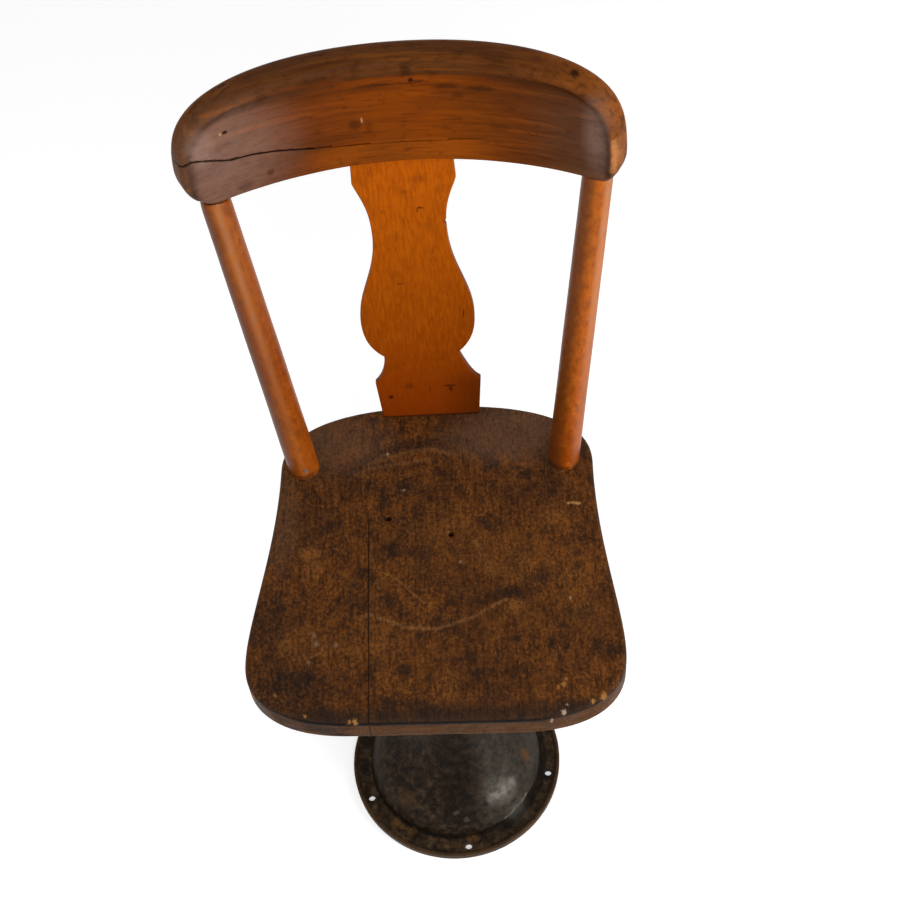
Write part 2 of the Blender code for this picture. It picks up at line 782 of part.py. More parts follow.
def make_post_nail(surface):
    """The nail through the left post's foot into the seat, and its hole."""
    outward = Vector((math.sin(NAIL_TURN), -math.cos(NAIL_TURN), 0))
    start = post_place(NAIL_HEIGHT, -1) + post_radius(NAIL_HEIGHT) * outward
    inward = -outward * math.cos(NAIL_SLOPE) - Vector((0, 0, math.sin(NAIL_SLOPE)))
    placing = frame_towards(start, start + inward)
    nail = add_object("post_nail", turned(nail_outline(0), 12), surface)
    hole = add_object("nail_hole", turned(nail_outline(CLEARANCE), 12))
    for item in (nail, hole):
        item.matrix_local = placing
    return hole


def make_seat_holes():
    cutters = []
    for number, (x, y) in enumerate(SEAT_HOLES, 1):
        hole = rod(SEAT_HOLE_DIAMETER, SEAT_TOP - SEAT_HOLE_DEPTH, SEAT_TOP + OVERRUN, 16)
        cutter = add_object(f"seat_hole_{number}", hole)
        cutter.location = (x, y, 0)
        cutters.append(cutter)
    return cutters


def centre_on_floor():
    """Moves the chair so that the origin is under the middle of its outline."""
    bpy.context.view_layer.update()
    graph = bpy.context.evaluated_depsgraph_get()
    corners = [
        piece.matrix_world @ Vector(corner)
        for piece in bpy.data.objects
        if piece.type == "MESH" and not piece.hide_render
        for corner in piece.evaluated_get(graph).bound_box
    ]
    for axis in (0, 1):
        places = [corner[axis] for corner in corners]
        CHAIR.location[axis] = -(min(places) + max(places)) / 2


def build():
    crest_wood = material("crest_wood", (0.20, 0.065, 0.022), 0.38)
    splat_wood = material("splat_wood", (0.42, 0.17, 0.035), 0.42)
    post_wood = material("post_wood", (0.34, 0.12, 0.035), 0.36)
    seat_wood = material("seat_wood", (0.075, 0.035, 0.018), 0.5)
    cast_iron = material("cast_iron", (0.045, 0.038, 0.035), 0.5, 0.6)
    steel = material("steel", (0.12, 0.10, 0.09), 0.45, 0.9)

    crest = make_crest("crest_rail", crest_wood)
    crest_form = make_crest("crest_form", None, CLEARANCE)
    make_splat(splat_wood)
    seat_mortise, crest_mortise = make_splat_mortises()
    left_post = make_post("post_left", -1, crest_form, post_wood)
    make_post("post_right", 1, crest_form, post_wood)
    left_foot, left_tenon = make_post_sockets(-1)
    right_foot, right_tenon = make_post_sockets(1)
    cut(crest, crest_mortise, left_tenon, right_tenon, make_crack())

    left_board = make_seat_board("seat_board_left", None, -SEAT_LEFT_JOINT, seat_wood)
    middle_board = make_seat_board(
        "seat_board_middle", -SEAT_LEFT_JOINT, SEAT_RIGHT_JOINT, seat_wood
    )
    right_board = make_seat_board("seat_board_right", SEAT_RIGHT_JOINT, None, seat_wood)
    nail_hole = make_post_nail(steel)
    cut(left_post, nail_hole)
    cut(left_board, left_foot, nail_hole)
    cut(middle_board, seat_mortise, *make_seat_holes())
    cut(right_board, right_foot)

    make_pedestal(cast_iron)
    bracket = make_bracket(cast_iron)
    cut(bracket, make_set_screw(steel))
    for hole in make_bracket_screws(steel):
        cut(bracket, hole)
        for board in (left_board, middle_board, right_board):
            cut(board, hole)
    centre_on_floor()


clear_scene()
CHAIR = bpy.data.objects.new("chair", None)
bpy.context.scene.collection.objects.link(CHAIR)
build()
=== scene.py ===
"""The looks of an old wooden chair on a cast-iron pedestal: worn, darkened varnish and rusty iron.

The wooden pieces and the pedestal are remade with finer meshes, in the places of the frame's
nodes. The bracket, the screws and the nail keep their meshes. Metres, in the frame's own frame.
"""

import math

import bmesh
import bpy
import numpy as np
from mathutils import Matrix, Vector, noise
from mathutils.geometry import interpolate_bezier


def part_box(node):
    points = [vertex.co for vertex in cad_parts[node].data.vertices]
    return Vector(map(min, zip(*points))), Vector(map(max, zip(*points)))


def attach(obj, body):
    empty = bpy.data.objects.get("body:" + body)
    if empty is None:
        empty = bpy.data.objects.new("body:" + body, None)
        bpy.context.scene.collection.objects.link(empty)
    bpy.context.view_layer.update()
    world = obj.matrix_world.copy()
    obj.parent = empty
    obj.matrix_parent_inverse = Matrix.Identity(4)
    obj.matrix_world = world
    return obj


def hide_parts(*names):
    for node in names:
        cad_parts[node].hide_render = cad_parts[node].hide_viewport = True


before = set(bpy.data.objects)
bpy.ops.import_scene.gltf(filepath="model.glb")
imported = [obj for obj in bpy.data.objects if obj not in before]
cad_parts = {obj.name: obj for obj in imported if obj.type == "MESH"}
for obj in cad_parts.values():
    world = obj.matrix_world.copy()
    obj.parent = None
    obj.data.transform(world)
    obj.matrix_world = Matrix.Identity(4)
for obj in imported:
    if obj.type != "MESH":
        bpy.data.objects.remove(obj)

bpy.context.scene.view_settings.view_transform = "Standard"
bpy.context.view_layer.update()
LOW, HIGH = (Vector(corner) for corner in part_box("pedestal"))
AXIS = Vector(((LOW.x + HIGH.x) / 2, (LOW.y + HIGH.y) / 2, 0))  # the pedestal's axis, on the floor

# Camera, from the pedestal's axis
CAMERA_PLACE = Vector((0.0911, -0.9026, 1.9852))
CAMERA_YAW = math.radians(-3.8112)
CAMERA_PITCH = math.radians(55.3321)  # below level
CAMERA_ROLL = math.radians(-5.8498)
CAMERA_LENS = 69.456  # mm, on a 36 mm sensor

# Seat
SEAT_TOP = 0.43
SEAT_THICKNESS = 0.033
SEAT_FRONT = 0.1523
SEAT_BACK = 0.2325
SEAT_FRONT_WIDTH = 0.386
SEAT_BACK_WIDTH = 0.339
SEAT_FRONT_CORNER = 0.075
SEAT_FRONT_FLAT = 0.158
SEAT_BACK_CORNER = 0.081
SEAT_CORNER_POWER = 2.4
SEAT_TOP_ROUND = 0.0055
SEAT_BOTTOM_ROUND = 0.0035
SEAT_LEFT_JOINT = 0.068
SEAT_RIGHT_JOINT = 0.115
SEAT_JOINT_TURN = math.radians(1.2)
SEAT_TURN = math.radians(-1.1)
SEAT_SHIFT = 0.0012
SEAT_HOLES = ((-0.047, 0.086), (0.019, 0.063))
SEAT_HOLE_RADIUS = 0.0035
SEAT_HOLE_DEPTH = 0.009
SEAT_STEP = 0.006  # mesh size of the seat's top
SEAT_SPACING = 0.004  # and along its edge
SEAT_WAVE = 0.0005  # unevenness of the worn top
LEFT_BOARD_DROP = 0.0001  # how much lower the left board lies
JOINT_GAP = 0.00004

# Back
BACK_HEIGHT = 0.3636
BACK_LEAN = 0.185
BACK_SPLAY = 0.10865
POST_SPACING = 0.2822
POST_SET_BACK = 0.1578
RIGHT_FOOT_FORWARD = 0.004
POST_ENTRY = 0.002  # how far the posts reach into the crest
POST_SUNK = 0.008  # how far below the seat's top their meshes start
POST_SWELL = 0.018  # unevenness, as a share of the radius
POST_NARROWING = 0.08
POST_NECK = 0.01  # length of the narrowing at the top
POST_FOOT_RADIUS = 0.01675
POST_TOP_RADIUS = 0.01475
RACK_SHIFT = 0.002
RACK_TILT = 0.022

# Crest rail
CREST_LENGTH = 0.4304
CREST_HEIGHT = 0.1094
CREST_THICKNESS = 0.0314
CREST_RADIUS = 0.411
CREST_EDGE_ROUND = 0.0065  # inwards from the top and the lower edge
CREST_END_ROUND = 1.7  # how many times more at the ends
CREST_LOWER_ROUND = 0.4  # how many times as much at the lower edge
CREST_ROUND_DEPTH = 0.01
CREST_WIDEST_HEIGHT = 0.015
CREST_CORNERS = {-1: (0.04, 0.021, 2.6), 1: (0.033, 0.011, 3.0)}  # height, width and power
CREST_TOP_POWER = 4.1
CREST_SIDE_RISE = CREST_HEIGHT - CREST_WIDEST_HEIGHT
CREST_SHIFT = 0.0018
CREST_STEP = 0.003  # mesh size of the crest
PANEL_START = 0.0065  # from the crest's ends and top to where its face starts to sink
PANEL_SLOPE = 0.005
PANEL_DEPTH = 0.0018
PANEL_TOP_DEPTH = 0.0008
PANEL_WAVE = 0.0003
PANEL_RINGS = 8  # rings of mesh that follow the crest's outline where the face sinks
PANEL_RING_STEP = 0.0008
CRACK_PATH = (  # along the crest from its left end, height above its lower edge, half width, depth
    (-0.006, 0.0522, 0.0015, 0.016),
    (0.003, 0.0532, 0.0015, 0.015),
    (0.01, 0.056, 0.0014, 0.014),
    (0.02, 0.0528, 0.0013, 0.012),
    (0.03, 0.0492, 0.00125, 0.011),
    (0.041, 0.0447, 0.0011, 0.01),
    (0.051, 0.0416, 0.00115, 0.009),
    (0.06, 0.0407, 0.001, 0.008),
    (0.07, 0.04, 0.0009, 0.008),
    (0.096, 0.0358, 0.0007, 0.007),
    (0.132, 0.0287, 0.00045, 0.006),
    (0.168, 0.0241, 0.0003, 0.005),
    (0.24, 0.022, 0.00022, 0.0026),
    (0.296, 0.0262, 0.00014, 0.0018),
)

# Splat
SPLAT_THICKNESS = 0.008
SPLAT_SET_BACK = 0.222
SPLAT_FOOT_WIDTH = 0.106
SPLAT_FLARE_WIDTH = 0.114
SPLAT_FLARE_HEIGHT = 0.054
SPLAT_BULGE_WIDTH = 0.1192
SPLAT_NECK_WIDTH = 0.0758
SPLAT_SHOULDER_WIDTH = 0.101
SPLAT_TOP_WIDTH = 0.098
SPLAT_VASE_SHIFT = 0.0045
# The two sides were sawn freehand: the waist's half width below and above its notch, its height,
# the bulge's height, how far the neck and the shoulder are below the top, and the neck's half width
SPLAT_SIDES = {
    -1: (0.044, 0.044, 0.0984, 0.146, 0.1, 0.035, 0.0367),
    1: (0.0352, 0.0397, 0.096, 0.15, 0.094, 0.033, 0.0379),
}
SPLAT_EDGE_ROUND = 0.0013
CHIP_OUTLINE = (  # on the splat's right edge, from the edge inwards and up from the seat
    (0.004, 0.2645),
    (0.0012, 0.27),
    (-0.0012, 0.275),
    (-0.0032, 0.2787),
    (-0.0028, 0.2803),
    (-0.0008, 0.2817),
    (0.004, 0.2843),
)

# Pedestal
FLANGE_RADIUS = 0.127
FLANGE_THICKNESS = 0.0075
LIP_WIDTH = 0.006
LIP_HEIGHT = 0.0025
# The outline from the lip to the bell, each point with its height above the flange's top: shares
# of the lip's width inwards, then distances out from the bell
LIP_SLOPE = ((0.55, 0.0024), (0.85, 0.0004), (1, 0))
BELL_FILLET = ((0.004, -0.0003), (0.0014, 0), (0.0003, 0.0012))
FLANGE_HOLES = 5
FLANGE_HOLE_RADIUS = 0.0043
FLANGE_HOLE_CIRCLE = 0.1143
FLANGE_HOLE_TURN = math.radians(6.3)
BELL_RADIUS = 0.103
BELL_STEP = 0.004
BELL_HEIGHT = 0.165
BELL_SHOULDER_HANDLE = 0.075
BELL_NECK_HANDLE = 0.11
PEDESTAL_WALL = 0.007
COLUMN_RADIUS = 0.03
COLUMN_TOP = 0.3904
CASTING_WAVE = 0.0004

# Places that follow from the sizes, from the pedestal's axis
OVERRUN = 0.004
SEAT_UNDERSIDE = SEAT_TOP - SEAT_THICKNESS
CREST_BOTTOM = SEAT_TOP + BACK_HEIGHT
CREST_END = CREST_LENGTH / 2
POST_REACH = POST_SPACING / 2 + BACK_SPLAY * BACK_HEIGHT
CREST_PLACE = Vector((
    SEAT_SHIFT - RACK_SHIFT - CREST_SHIFT,
    POST_SET_BACK + BACK_LEAN * BACK_HEIGHT
    + CREST_RADIUS - math.sqrt(CREST_RADIUS**2 - POST_REACH**2),
    CREST_BOTTOM,
))
SPLAT_FOOT = Vector((0, SPLAT_SET_BACK, SEAT_TOP))
SPLAT_HEAD = Vector((0, CREST_PLACE.y, CREST_BOTTOM))
SPLAT_HEIGHT = (SPLAT_HEAD - SPLAT_FOOT).length


# Shapes

def post_place(height, side):
    """The point of a post's axis at this height above the seat; side is -1 on the left."""
    rack = RACK_SHIFT * height / BACK_HEIGHT
    across = SEAT_SHIFT + side * (POST_SPACING / 2 + BACK_SPLAY * height) - rack
    forward = RIGHT_FOOT_FORWARD * (1 - height / BACK_HEIGHT) if side > 0 else 0
    along = POST_SET_BACK + BACK_LEAN * height - forward
    return AXIS + Vector((across, along, SEAT_TOP + height))


def frame_towards(start, end):
    """A placing with its origin at start, its Z towards end and its X near the chair's X."""
    up = (end - start).normalized()
    across = Vector((0, 1, 0)).cross(up).normalized()
    turn = Matrix((across, up.cross(across), up)).transposed().to_4x4()
    return Matrix.Translation(start) @ turn


def crest_placing():
    tilt = Matrix.Rotation(-math.atan(RACK_TILT), 4, "Y")
    return Matrix.Translation(AXIS + CREST_PLACE) @ tilt


def splat_placing():
    """Splat outlines are drawn in X and Y, and stand up here: Y becomes the height."""
    stand = Matrix.Rotation(math.pi / 2, 4, "X")
    return frame_towards(AXIS + SPLAT_FOOT, AXIS + SPLAT_HEAD) @ stand


def mesh_object(name, made, surface=None, sharp=35):
    """An object of a bmesh, shaded smooth up to this angle. Without a surface it is a cutter."""
    made.normal_update()
    bmesh.ops.recalc_face_normals(made, faces=made.faces)
    mesh = bpy.data.meshes.new(name)
    made.to_mesh(mesh)
    made.free()
    if surface:
        mesh.materials.append(surface)
    mesh.shade_smooth()
    mesh.set_sharp_from_angle(angle=math.radians(sharp))
    piece = bpy.data.objects.new(name, mesh)
    bpy.context.scene.collection.objects.link(piece)
    if surface:
        keep_flat(piece)
    return piece


def keep_flat(piece):
    """Lets the large faces set the normals, so that flat ones look flat up to their edges."""
    weighing = piece.modifiers.new("normals", "WEIGHTED_NORMAL")
    weighing.keep_sharp = True


def cut(piece, *cutters):
    """Takes the cutters' shapes out of the piece's mesh, and deletes them."""
    piece.modifiers.clear()
    for cutter in cutters:
        step = piece.modifiers.new("cut", "BOOLEAN")
        step.operation = "DIFFERENCE"
        step.solver = "EXACT"
        step.object = cutter
    bpy.context.view_layer.update()
    evaluated = piece.evaluated_get(bpy.context.evaluated_depsgraph_get())
    mesh = bpy.data.meshes.new_from_object(evaluated)
    piece.modifiers.clear()
    old = piece.data
    piece.data = mesh
    bpy.data.meshes.remove(old)
    mesh.name = piece.name
    keep_flat(piece)
    for cutter in cutters:
        bpy.data.objects.remove(cutter)


def dress(piece, slot, *nodes):
    """The piece stands for these nodes of the frame."""
    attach(piece, "root")
    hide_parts(*nodes)


def extruded(outline, low, high):
    made = bmesh.new()
    points = [made.verts.new((x, y, low)) for x, y in outline]
    face = made.faces.new(points)
    raised = bmesh.ops.extrude_face_region(made, geom=[face])["geom"]
    top = [item for item in raised if isinstance(item, bmesh.types.BMVert)]
    bmesh.ops.translate(made, verts=top, vec=(0, 0, high - low))
    bmesh.ops.recalc_face_normals(made, faces=made.faces)
    return made


def turned(outline, steps):
    """A bmesh turned round Z from (radius, height) points, closed or from axis to axis."""
    made = bmesh.new()
    points = [made.verts.new((radius, 0, height)) for radius, height in outline]
    edges = [made.edges.new(pair) for pair in zip(points, points[1:])]
    bmesh.ops.spin(
        made,
        geom=points + edges,
        axis=(0, 0, 1),
        cent=(0, 0, 0),
        angle=2 * math.pi,
        steps=steps,
        use_merge=True,
    )
    bmesh.ops.remove_doubles(made, verts=made.verts, dist=0.000001)
    return made


def drills(name, radius, low, high, places, steps=32):
    """Cutters for upright holes at these places, from the pedestal's axis."""
    found = []
    for x, y in places:
        hole = turned(((0, low), (radius, low), (radius, high), (0, high)), steps)
        hole.transform(Matrix.Translation(AXIS + Vector((x, y, 0))))
        found.append(mesh_object(name, hole))
    return found


def skin(made, loops):
    """Joins closed loops of points, each to the next, and closes both ends."""
    for first, second in zip(loops, loops[1:]):
        for i in range(len(first)):
            j = (i + 1) % len(first)
            made.faces.new((first[i], first[j], second[j], second[i]))
    made.faces.new(loops[0][::-1])
    made.faces.new(loops[-1])


def flat_faces(made, height):
    """The flat faces at this height."""
    return [
        face
        for face in made.faces
        if all(abs(point.co.z - height) < 0.000001 for point in face.verts)
    ]


def round_rim(made, height, radius, segments):
    rim = {edge for face in flat_faces(made, height) for edge in face.edges}
    bmesh.ops.bevel(
        made, geom=list(rim), offset=radius, segments=segments, profile=0.5, affect="EDGES"
    )


def slice_faces(made, faces_at, axis, low, high, step):
    """Cuts the flat faces at this height, or everything for None, every step along an axis."""
    normal = Vector([1.0 if i == axis else 0.0 for i in range(3)])
    count = math.ceil((high - low) / step)
    for number in range(1, count):
        place = normal * (low + (high - low) * number / count)
        if faces_at is None:
            geometry = made.verts[:] + made.edges[:] + made.faces[:]
        else:
            faces = flat_faces(made, faces_at)
            edges = {edge for face in faces for edge in face.edges}
            points = {point for face in faces for point in face.verts}
            geometry = list(points) + list(edges) + faces
        bmesh.ops.bisect_plane(made, geom=geometry, plane_co=place, plane_no=normal)


def even_places(line, spacing):
    """The length along a line up to each of its points, and places an even distance apart."""
    lengths = np.concatenate([[0], np.cumsum(np.linalg.norm(np.diff(line, axis=0), axis=1))])
    return lengths, np.linspace(0, lengths[-1], round(lengths[-1] / spacing) + 1)


def points_at(places, marks, line):
    """The line's points at these places, where marks holds the place of each given point."""
    return [tuple(float(np.interp(place, marks, line[:, i])) for i in (0, 1)) for place in places]


def distance_to(line, points):
    """The distance of each point from a line of points, all in two dimensions."""
    start = np.array(line[:-1])
    run = np.array(line[1:]) - start
    found = []
    for point in np.array(points):
        share = np.clip(((point - start) * run).sum(1) / (run**2).sum(1), 0, 1)
        found.append(np.linalg.norm(start + run * share[:, None] - point, axis=1).min())
    return np.array(found)


def smooth_step(value):
    value = min(max(value, 0), 1)
    return value * value * (3 - 2 * value)


# Crest rail

def crest_half(side, grow=0.0):
    """The crest's left or right half, from the foot of its corner to the middle of its top."""
    end = CREST_END + grow * CREST_END_ROUND
    top = CREST_HEIGHT + grow
    bottom = -grow * CREST_LOWER_ROUND
    half = []
    for step in range(40):
        half.append((end, bottom + (CREST_WIDEST_HEIGHT - bottom) * step / 40))
    for step in range(401):
        angle = math.pi / 2 * (step / 400) ** 2
        along = end * math.cos(angle) ** (2 / CREST_TOP_POWER)
        rise = math.sin(angle) ** (2 / CREST_TOP_POWER)
        half.append((along, CREST_WIDEST_HEIGHT + (top - CREST_WIDEST_HEIGHT) * rise))
    corner_height, corner_width, power = CREST_CORNERS[side]
    rounded = []
    for along, height in half:
        share = max(corner_height - height, 0) / (corner_height - bottom)
        rounded.append((side * (along - corner_width * share**power), height))
    return rounded


def crest_rims(spacing, insets):
    """Closed outlines of the crest at these insets, with their points side by side."""
    marks = {}
    for side in (1, -1):
        outer = np.array(crest_half(side))
        lengths, places = even_places(outer, spacing)
        marks[side] = np.interp(places, lengths, np.arange(len(outer)))
    rims = []
    for inset in insets:
        halves = []
        for side in (1, -1):
            half = np.array(crest_half(side, -inset))
            halves.append(points_at(marks[side], range(len(half)), half))
        rims.append(halves[0] + halves[1][-2::-1])
    return rims


def bend(along, depth, height):
    """A point of the crest's flat board, bent and leaning back; depth 0 is its middle."""
    angle = along / CREST_RADIUS
    radius = CREST_RADIUS + depth
    back = radius * math.cos(angle) - CREST_RADIUS
    return Vector((radius * math.sin(angle), back + BACK_LEAN * height, height))


def crest_board(spacing, step, segments, sink, grow=0.0):
    """The crest as a bmesh; its front face is sunk behind the ends and the top."""
    half = CREST_THICKNESS / 2 + grow
    rings = []  # inset and depth of each ring, from the front's middle to the back's
    if sink:
        for ring in range(PANEL_RINGS, 0, -1):
            rings.append((CREST_EDGE_ROUND + PANEL_RING_STEP * ring, -half))
    for ring in range(segments + 1):
        angle = math.pi / 2 * ring / segments
        inset = CREST_EDGE_ROUND * (1 - math.sin(angle))
        rings.append((inset, -half + CREST_ROUND_DEPTH * (1 - math.cos(angle))))
    rings += [(inset, -depth) for inset, depth in rings[-segments - 1:][::-1]]
    rims = crest_rims(spacing, [inset - grow for inset, depth in rings])
    made = bmesh.new()
    loops = [
        [made.verts.new((along, height, depth)) for along, height in rim]
        for rim, (inset, depth) in zip(rims, rings)
    ]
    skin(made, loops)
    slice_faces(made, None, 0, -CREST_END, CREST_END, step)
    if sink:
        slice_faces(made, -half, 1, 0, CREST_HEIGHT, step)
        outer = rims[PANEL_RINGS + segments]
        upper = [point for point in outer if point[1] > CREST_WIDEST_HEIGHT]
        front = [point for point in made.verts if point.co.z < 0]
        reach = distance_to(upper, [point.co.xy for point in front])
        for point, distance in zip(front, reach):
            share = min(-point.co.z / (half - CREST_ROUND_DEPTH), 1)
            near_end = smooth_step((abs(point.co.x) / CREST_END - 0.35) / 0.45)
            deep = PANEL_TOP_DEPTH + (PANEL_DEPTH - PANEL_TOP_DEPTH) * near_end
            slope = PANEL_SLOPE * (2.5 - 1.5 * near_end)
            point.co.z += share * deep * smooth_step((distance - PANEL_START) / slope)
            point.co.z += share * PANEL_WAVE * noise.noise(point.co * 30)
    placing = crest_placing()
    for point in made.verts:
        along, height, depth = point.co
        point.co = placing @ bend(along, depth, height)
    return made


def crack_cutter():
    """A long V-shaped split from the crest's left end, narrowing and growing shallow inwards."""
    made = bmesh.new()
    face = -CREST_THICKNESS / 2
    placing = crest_placing()
    rings = []
    for along, height, half_width, deep in CRACK_PATH:
        place = along - CREST_END
        corners = (
            (face - OVERRUN, height + half_width),
            (face - OVERRUN, height - half_width),
            (face + deep, height),
        )
        rings.append([made.verts.new(placing @ bend(place, depth, up)) for depth, up in corners])
    skin(made, rings)
    return mesh_object("crack_cutter", made)


def make_crest(surface):
    board = crest_board(0.0022, CREST_STEP, 6, True)
    crest = mesh_object("crest_board", board, surface, 50)
    cut(crest, crack_cutter())
    dress(crest, "crest_wood", "crest_rail")


# Posts

def make_post(name, side, surface, node):
    """A turned post, coped to the crest's underside; its foot stands in the seat's socket."""
    stretch = (post_place(1, side) - post_place(0, side)).length
    low = -POST_SUNK
    high = BACK_HEIGHT + side * RACK_TILT * POST_REACH + POST_ENTRY
    outline = [(0, low * stretch)]
    rings = 56
    for ring in range(rings + 1):
        height = low + (high - low) * ring / rings
        share = height / BACK_HEIGHT
        radius = POST_FOOT_RADIUS * (1 - share) + POST_TOP_RADIUS * share
        radius *= 1 - POST_NARROWING * smooth_step((height - high) / POST_NECK + 1)
        outline.append((radius, height * stretch))
    outline.append((0, high * stretch))
    made = turned(outline, 56)
    for point in made.verts:
        swell = 1 + POST_SWELL * noise.noise(point.co * 14 + Vector((side * 9, 0, 0)))
        point.co.x *= swell
        point.co.y *= swell
    made.transform(frame_towards(post_place(0, side), post_place(BACK_HEIGHT, side)))
    post = mesh_object(name, made, surface)
    form = crest_board(0.006, 0.008, 4, False, 0.0002)
    cut(post, mesh_object("crest_form", form))
    dress(post, "post_wood", node)


# Splat

def curve_between(start, start_handle, end_handle, end, steps):
    ends = (Vector(point) for point in (start, start_handle, end_handle, end))
    return [tuple(point) for point in interpolate_bezier(*ends, steps + 1)[:-1]]


def splat_edge(side):
    """The splat's left or right edge, upwards, as (across, height above the seat)."""
    low_waist, high_waist, waist_height, bulge_height, neck_drop, shoulder_drop, neck = (
        SPLAT_SIDES[side]
    )
    foot = SPLAT_FOOT_WIDTH / 2
    flare = SPLAT_FLARE_WIDTH / 2
    bulge = SPLAT_BULGE_WIDTH / 2
    shoulder = SPLAT_SHOULDER_WIDTH / 2
    neck_height = SPLAT_HEIGHT - neck_drop
    shoulder_height = SPLAT_HEIGHT - shoulder_drop
    scoop = waist_height - SPLAT_FLARE_HEIGHT
    swell = bulge_height - waist_height
    taper = neck_height - bulge_height
    rise = shoulder_height - neck_height
    straight = 0.25 * (flare - low_waist) if side > 0 else 0
    base = [(foot, -0.004), (foot, 0)]
    base += curve_between(
        (flare, SPLAT_FLARE_HEIGHT),
        (flare - 0.45 * (flare - low_waist), SPLAT_FLARE_HEIGHT + 0.15 * scoop),
        (low_waist + straight, waist_height - (0.3 if side > 0 else 0.6) * scoop),
        (low_waist, waist_height),
        18,
    )
    vase = curve_between(
        (high_waist, waist_height),
        (high_waist + 0.6 * (bulge - high_waist), waist_height + 0.22 * swell),
        (bulge, bulge_height - 0.5 * swell),
        (bulge, bulge_height),
        22,
    )
    vase += curve_between(
        (bulge, bulge_height),
        (bulge, bulge_height + 0.36 * taper),
        (neck, neck_height - 0.46 * taper),
        (neck, neck_height),
        40,
    )
    vase += curve_between(
        (neck, neck_height),
        (neck, neck_height + 0.55 * rise),
        (shoulder - 0.35 * (shoulder - neck), shoulder_height - 0.25 * rise),
        (shoulder, shoulder_height),
        22,
    )
    vase += [(shoulder, shoulder_height), (SPLAT_TOP_WIDTH / 2, SPLAT_HEIGHT + 0.006)]
    return [(side * across, height) for across, height in base] + [
        (side * across - SPLAT_VASE_SHIFT, height) for across, height in vase
    ]


def make_splat(surface):
    half = SPLAT_THICKNESS / 2
    made = extruded(splat_edge(1) + splat_edge(-1)[::-1], -half, half)
    for side in (-half, half):
        round_rim(made, side, SPLAT_EDGE_ROUND, 3)
    made.transform(splat_placing())
    splat = mesh_object("splat_board", made, surface, 40)
    neck = SPLAT_NECK_WIDTH / 2 - SPLAT_VASE_SHIFT
    outline = [(neck + across, height) for across, height in CHIP_OUTLINE]
    chip = extruded(outline, -half - OVERRUN, half + OVERRUN)
    chip.transform(splat_placing())
    cut(splat, mesh_object("chip_cutter", chip))
    dress(splat, "splat_wood", "splat")


# Seat

def corner_curve(centre, half_width, depth, steps):
    """A quarter of a rounded corner, from its side to the middle of the front or back edge."""
    points = []
    for step in range(steps + 1):
        angle = math.pi / 2 * step / steps
        across = half_width * math.cos(angle) ** (2 / SEAT_CORNER_POWER)
        along = depth * math.sin(angle) ** (2 / SEAT_CORNER_POWER)
        points.append((centre[0] + across, centre[1] + along))
    return points


def seat_outline():
    """The seat from above: rounded front, sides that narrow backwards, bowed back."""
    front_half = SEAT_FRONT_WIDTH / 2
    back_half = SEAT_BACK_WIDTH / 2
    widest = -SEAT_FRONT + SEAT_FRONT_CORNER
    narrowest = SEAT_BACK - SEAT_BACK_CORNER
    flat = SEAT_FRONT_FLAT / 2
    front = corner_curve((flat, widest), front_half - flat, -SEAT_FRONT_CORNER, 60)
    back = corner_curve((0, narrowest), back_half, SEAT_BACK_CORNER, 80)
    run = narrowest - widest
    side = interpolate_bezier(
        Vector((front_half, widest)),
        Vector((front_half, widest + 0.22 * run)),
        Vector((back_half, narrowest - 0.44 * run)),
        Vector((back_half, narrowest)),
        40,
    )
    half = np.array(front[::-1] + [tuple(point) for point in side[1:-1]] + back)
    lengths, places = even_places(half, SEAT_SPACING)
    half = points_at(places, lengths, half)
    turn = Matrix.Rotation(SEAT_TURN, 2)
    shift = Vector((SEAT_SHIFT, 0))
    outline = half + [(-x, y) for x, y in half[-2::-1]]
    return [tuple(turn @ Vector(point) + shift) for point in outline]


def make_seat_board(name, left, right, surface, node, drop=0.0):
    """The part of the seat between two joints; None is the seat's own edge."""
    made = extruded(seat_outline(), SEAT_UNDERSIDE, SEAT_TOP)
    round_rim(made, SEAT_TOP, SEAT_TOP_ROUND, 5)
    round_rim(made, SEAT_UNDERSIDE, SEAT_BOTTOM_ROUND, 3)
    slice_faces(made, SEAT_TOP, 1, -SEAT_FRONT, SEAT_BACK, SEAT_STEP)
    slice_faces(made, SEAT_TOP, 0, -SEAT_FRONT_WIDTH / 2, SEAT_FRONT_WIDTH / 2, SEAT_STEP)
    for joint, side in ((left, -1), (right, 1)):
        if joint is None:
            continue
        away = Vector((side * math.cos(SEAT_JOINT_TURN), side * math.sin(SEAT_JOINT_TURN), 0))
        bmesh.ops.bisect_plane(
            made,
            geom=made.verts[:] + made.edges[:] + made.faces[:],
            plane_co=Vector((joint, 0, 0)) - away * JOINT_GAP / 2,
            plane_no=away,
            clear_outer=True,
        )
        rim = [edge for edge in made.edges if edge.is_boundary]
        bmesh.ops.edgeloop_fill(made, edges=rim)
    for point in made.verts:
        if point.co.z > SEAT_TOP - SEAT_TOP_ROUND:
            wave = noise.noise(point.co * 12) + 0.4 * noise.noise(point.co * 45)
            point.co.z -= SEAT_WAVE * (0.9 + wave) / 2 + drop
    made.transform(Matrix.Translation(AXIS))
    board = mesh_object(name, made, surface, 40)
    dress(board, "seat_wood", node)
    return board


def make_seat(surface):
    left, right = -SEAT_LEFT_JOINT, SEAT_RIGHT_JOINT
    make_seat_board("seat_plank_left", None, left, surface, "seat_board_left", LEFT_BOARD_DROP)
    middle = make_seat_board("seat_plank_middle", left, right, surface, "seat_board_middle")
    make_seat_board("seat_plank_right", right, None, surface, "seat_board_right")
    low, high = SEAT_TOP - SEAT_HOLE_DEPTH, SEAT_TOP + OVERRUN
    cut(middle, *drills("seat_hole_cutter", SEAT_HOLE_RADIUS, low, high, SEAT_HOLES))


# Pedestal

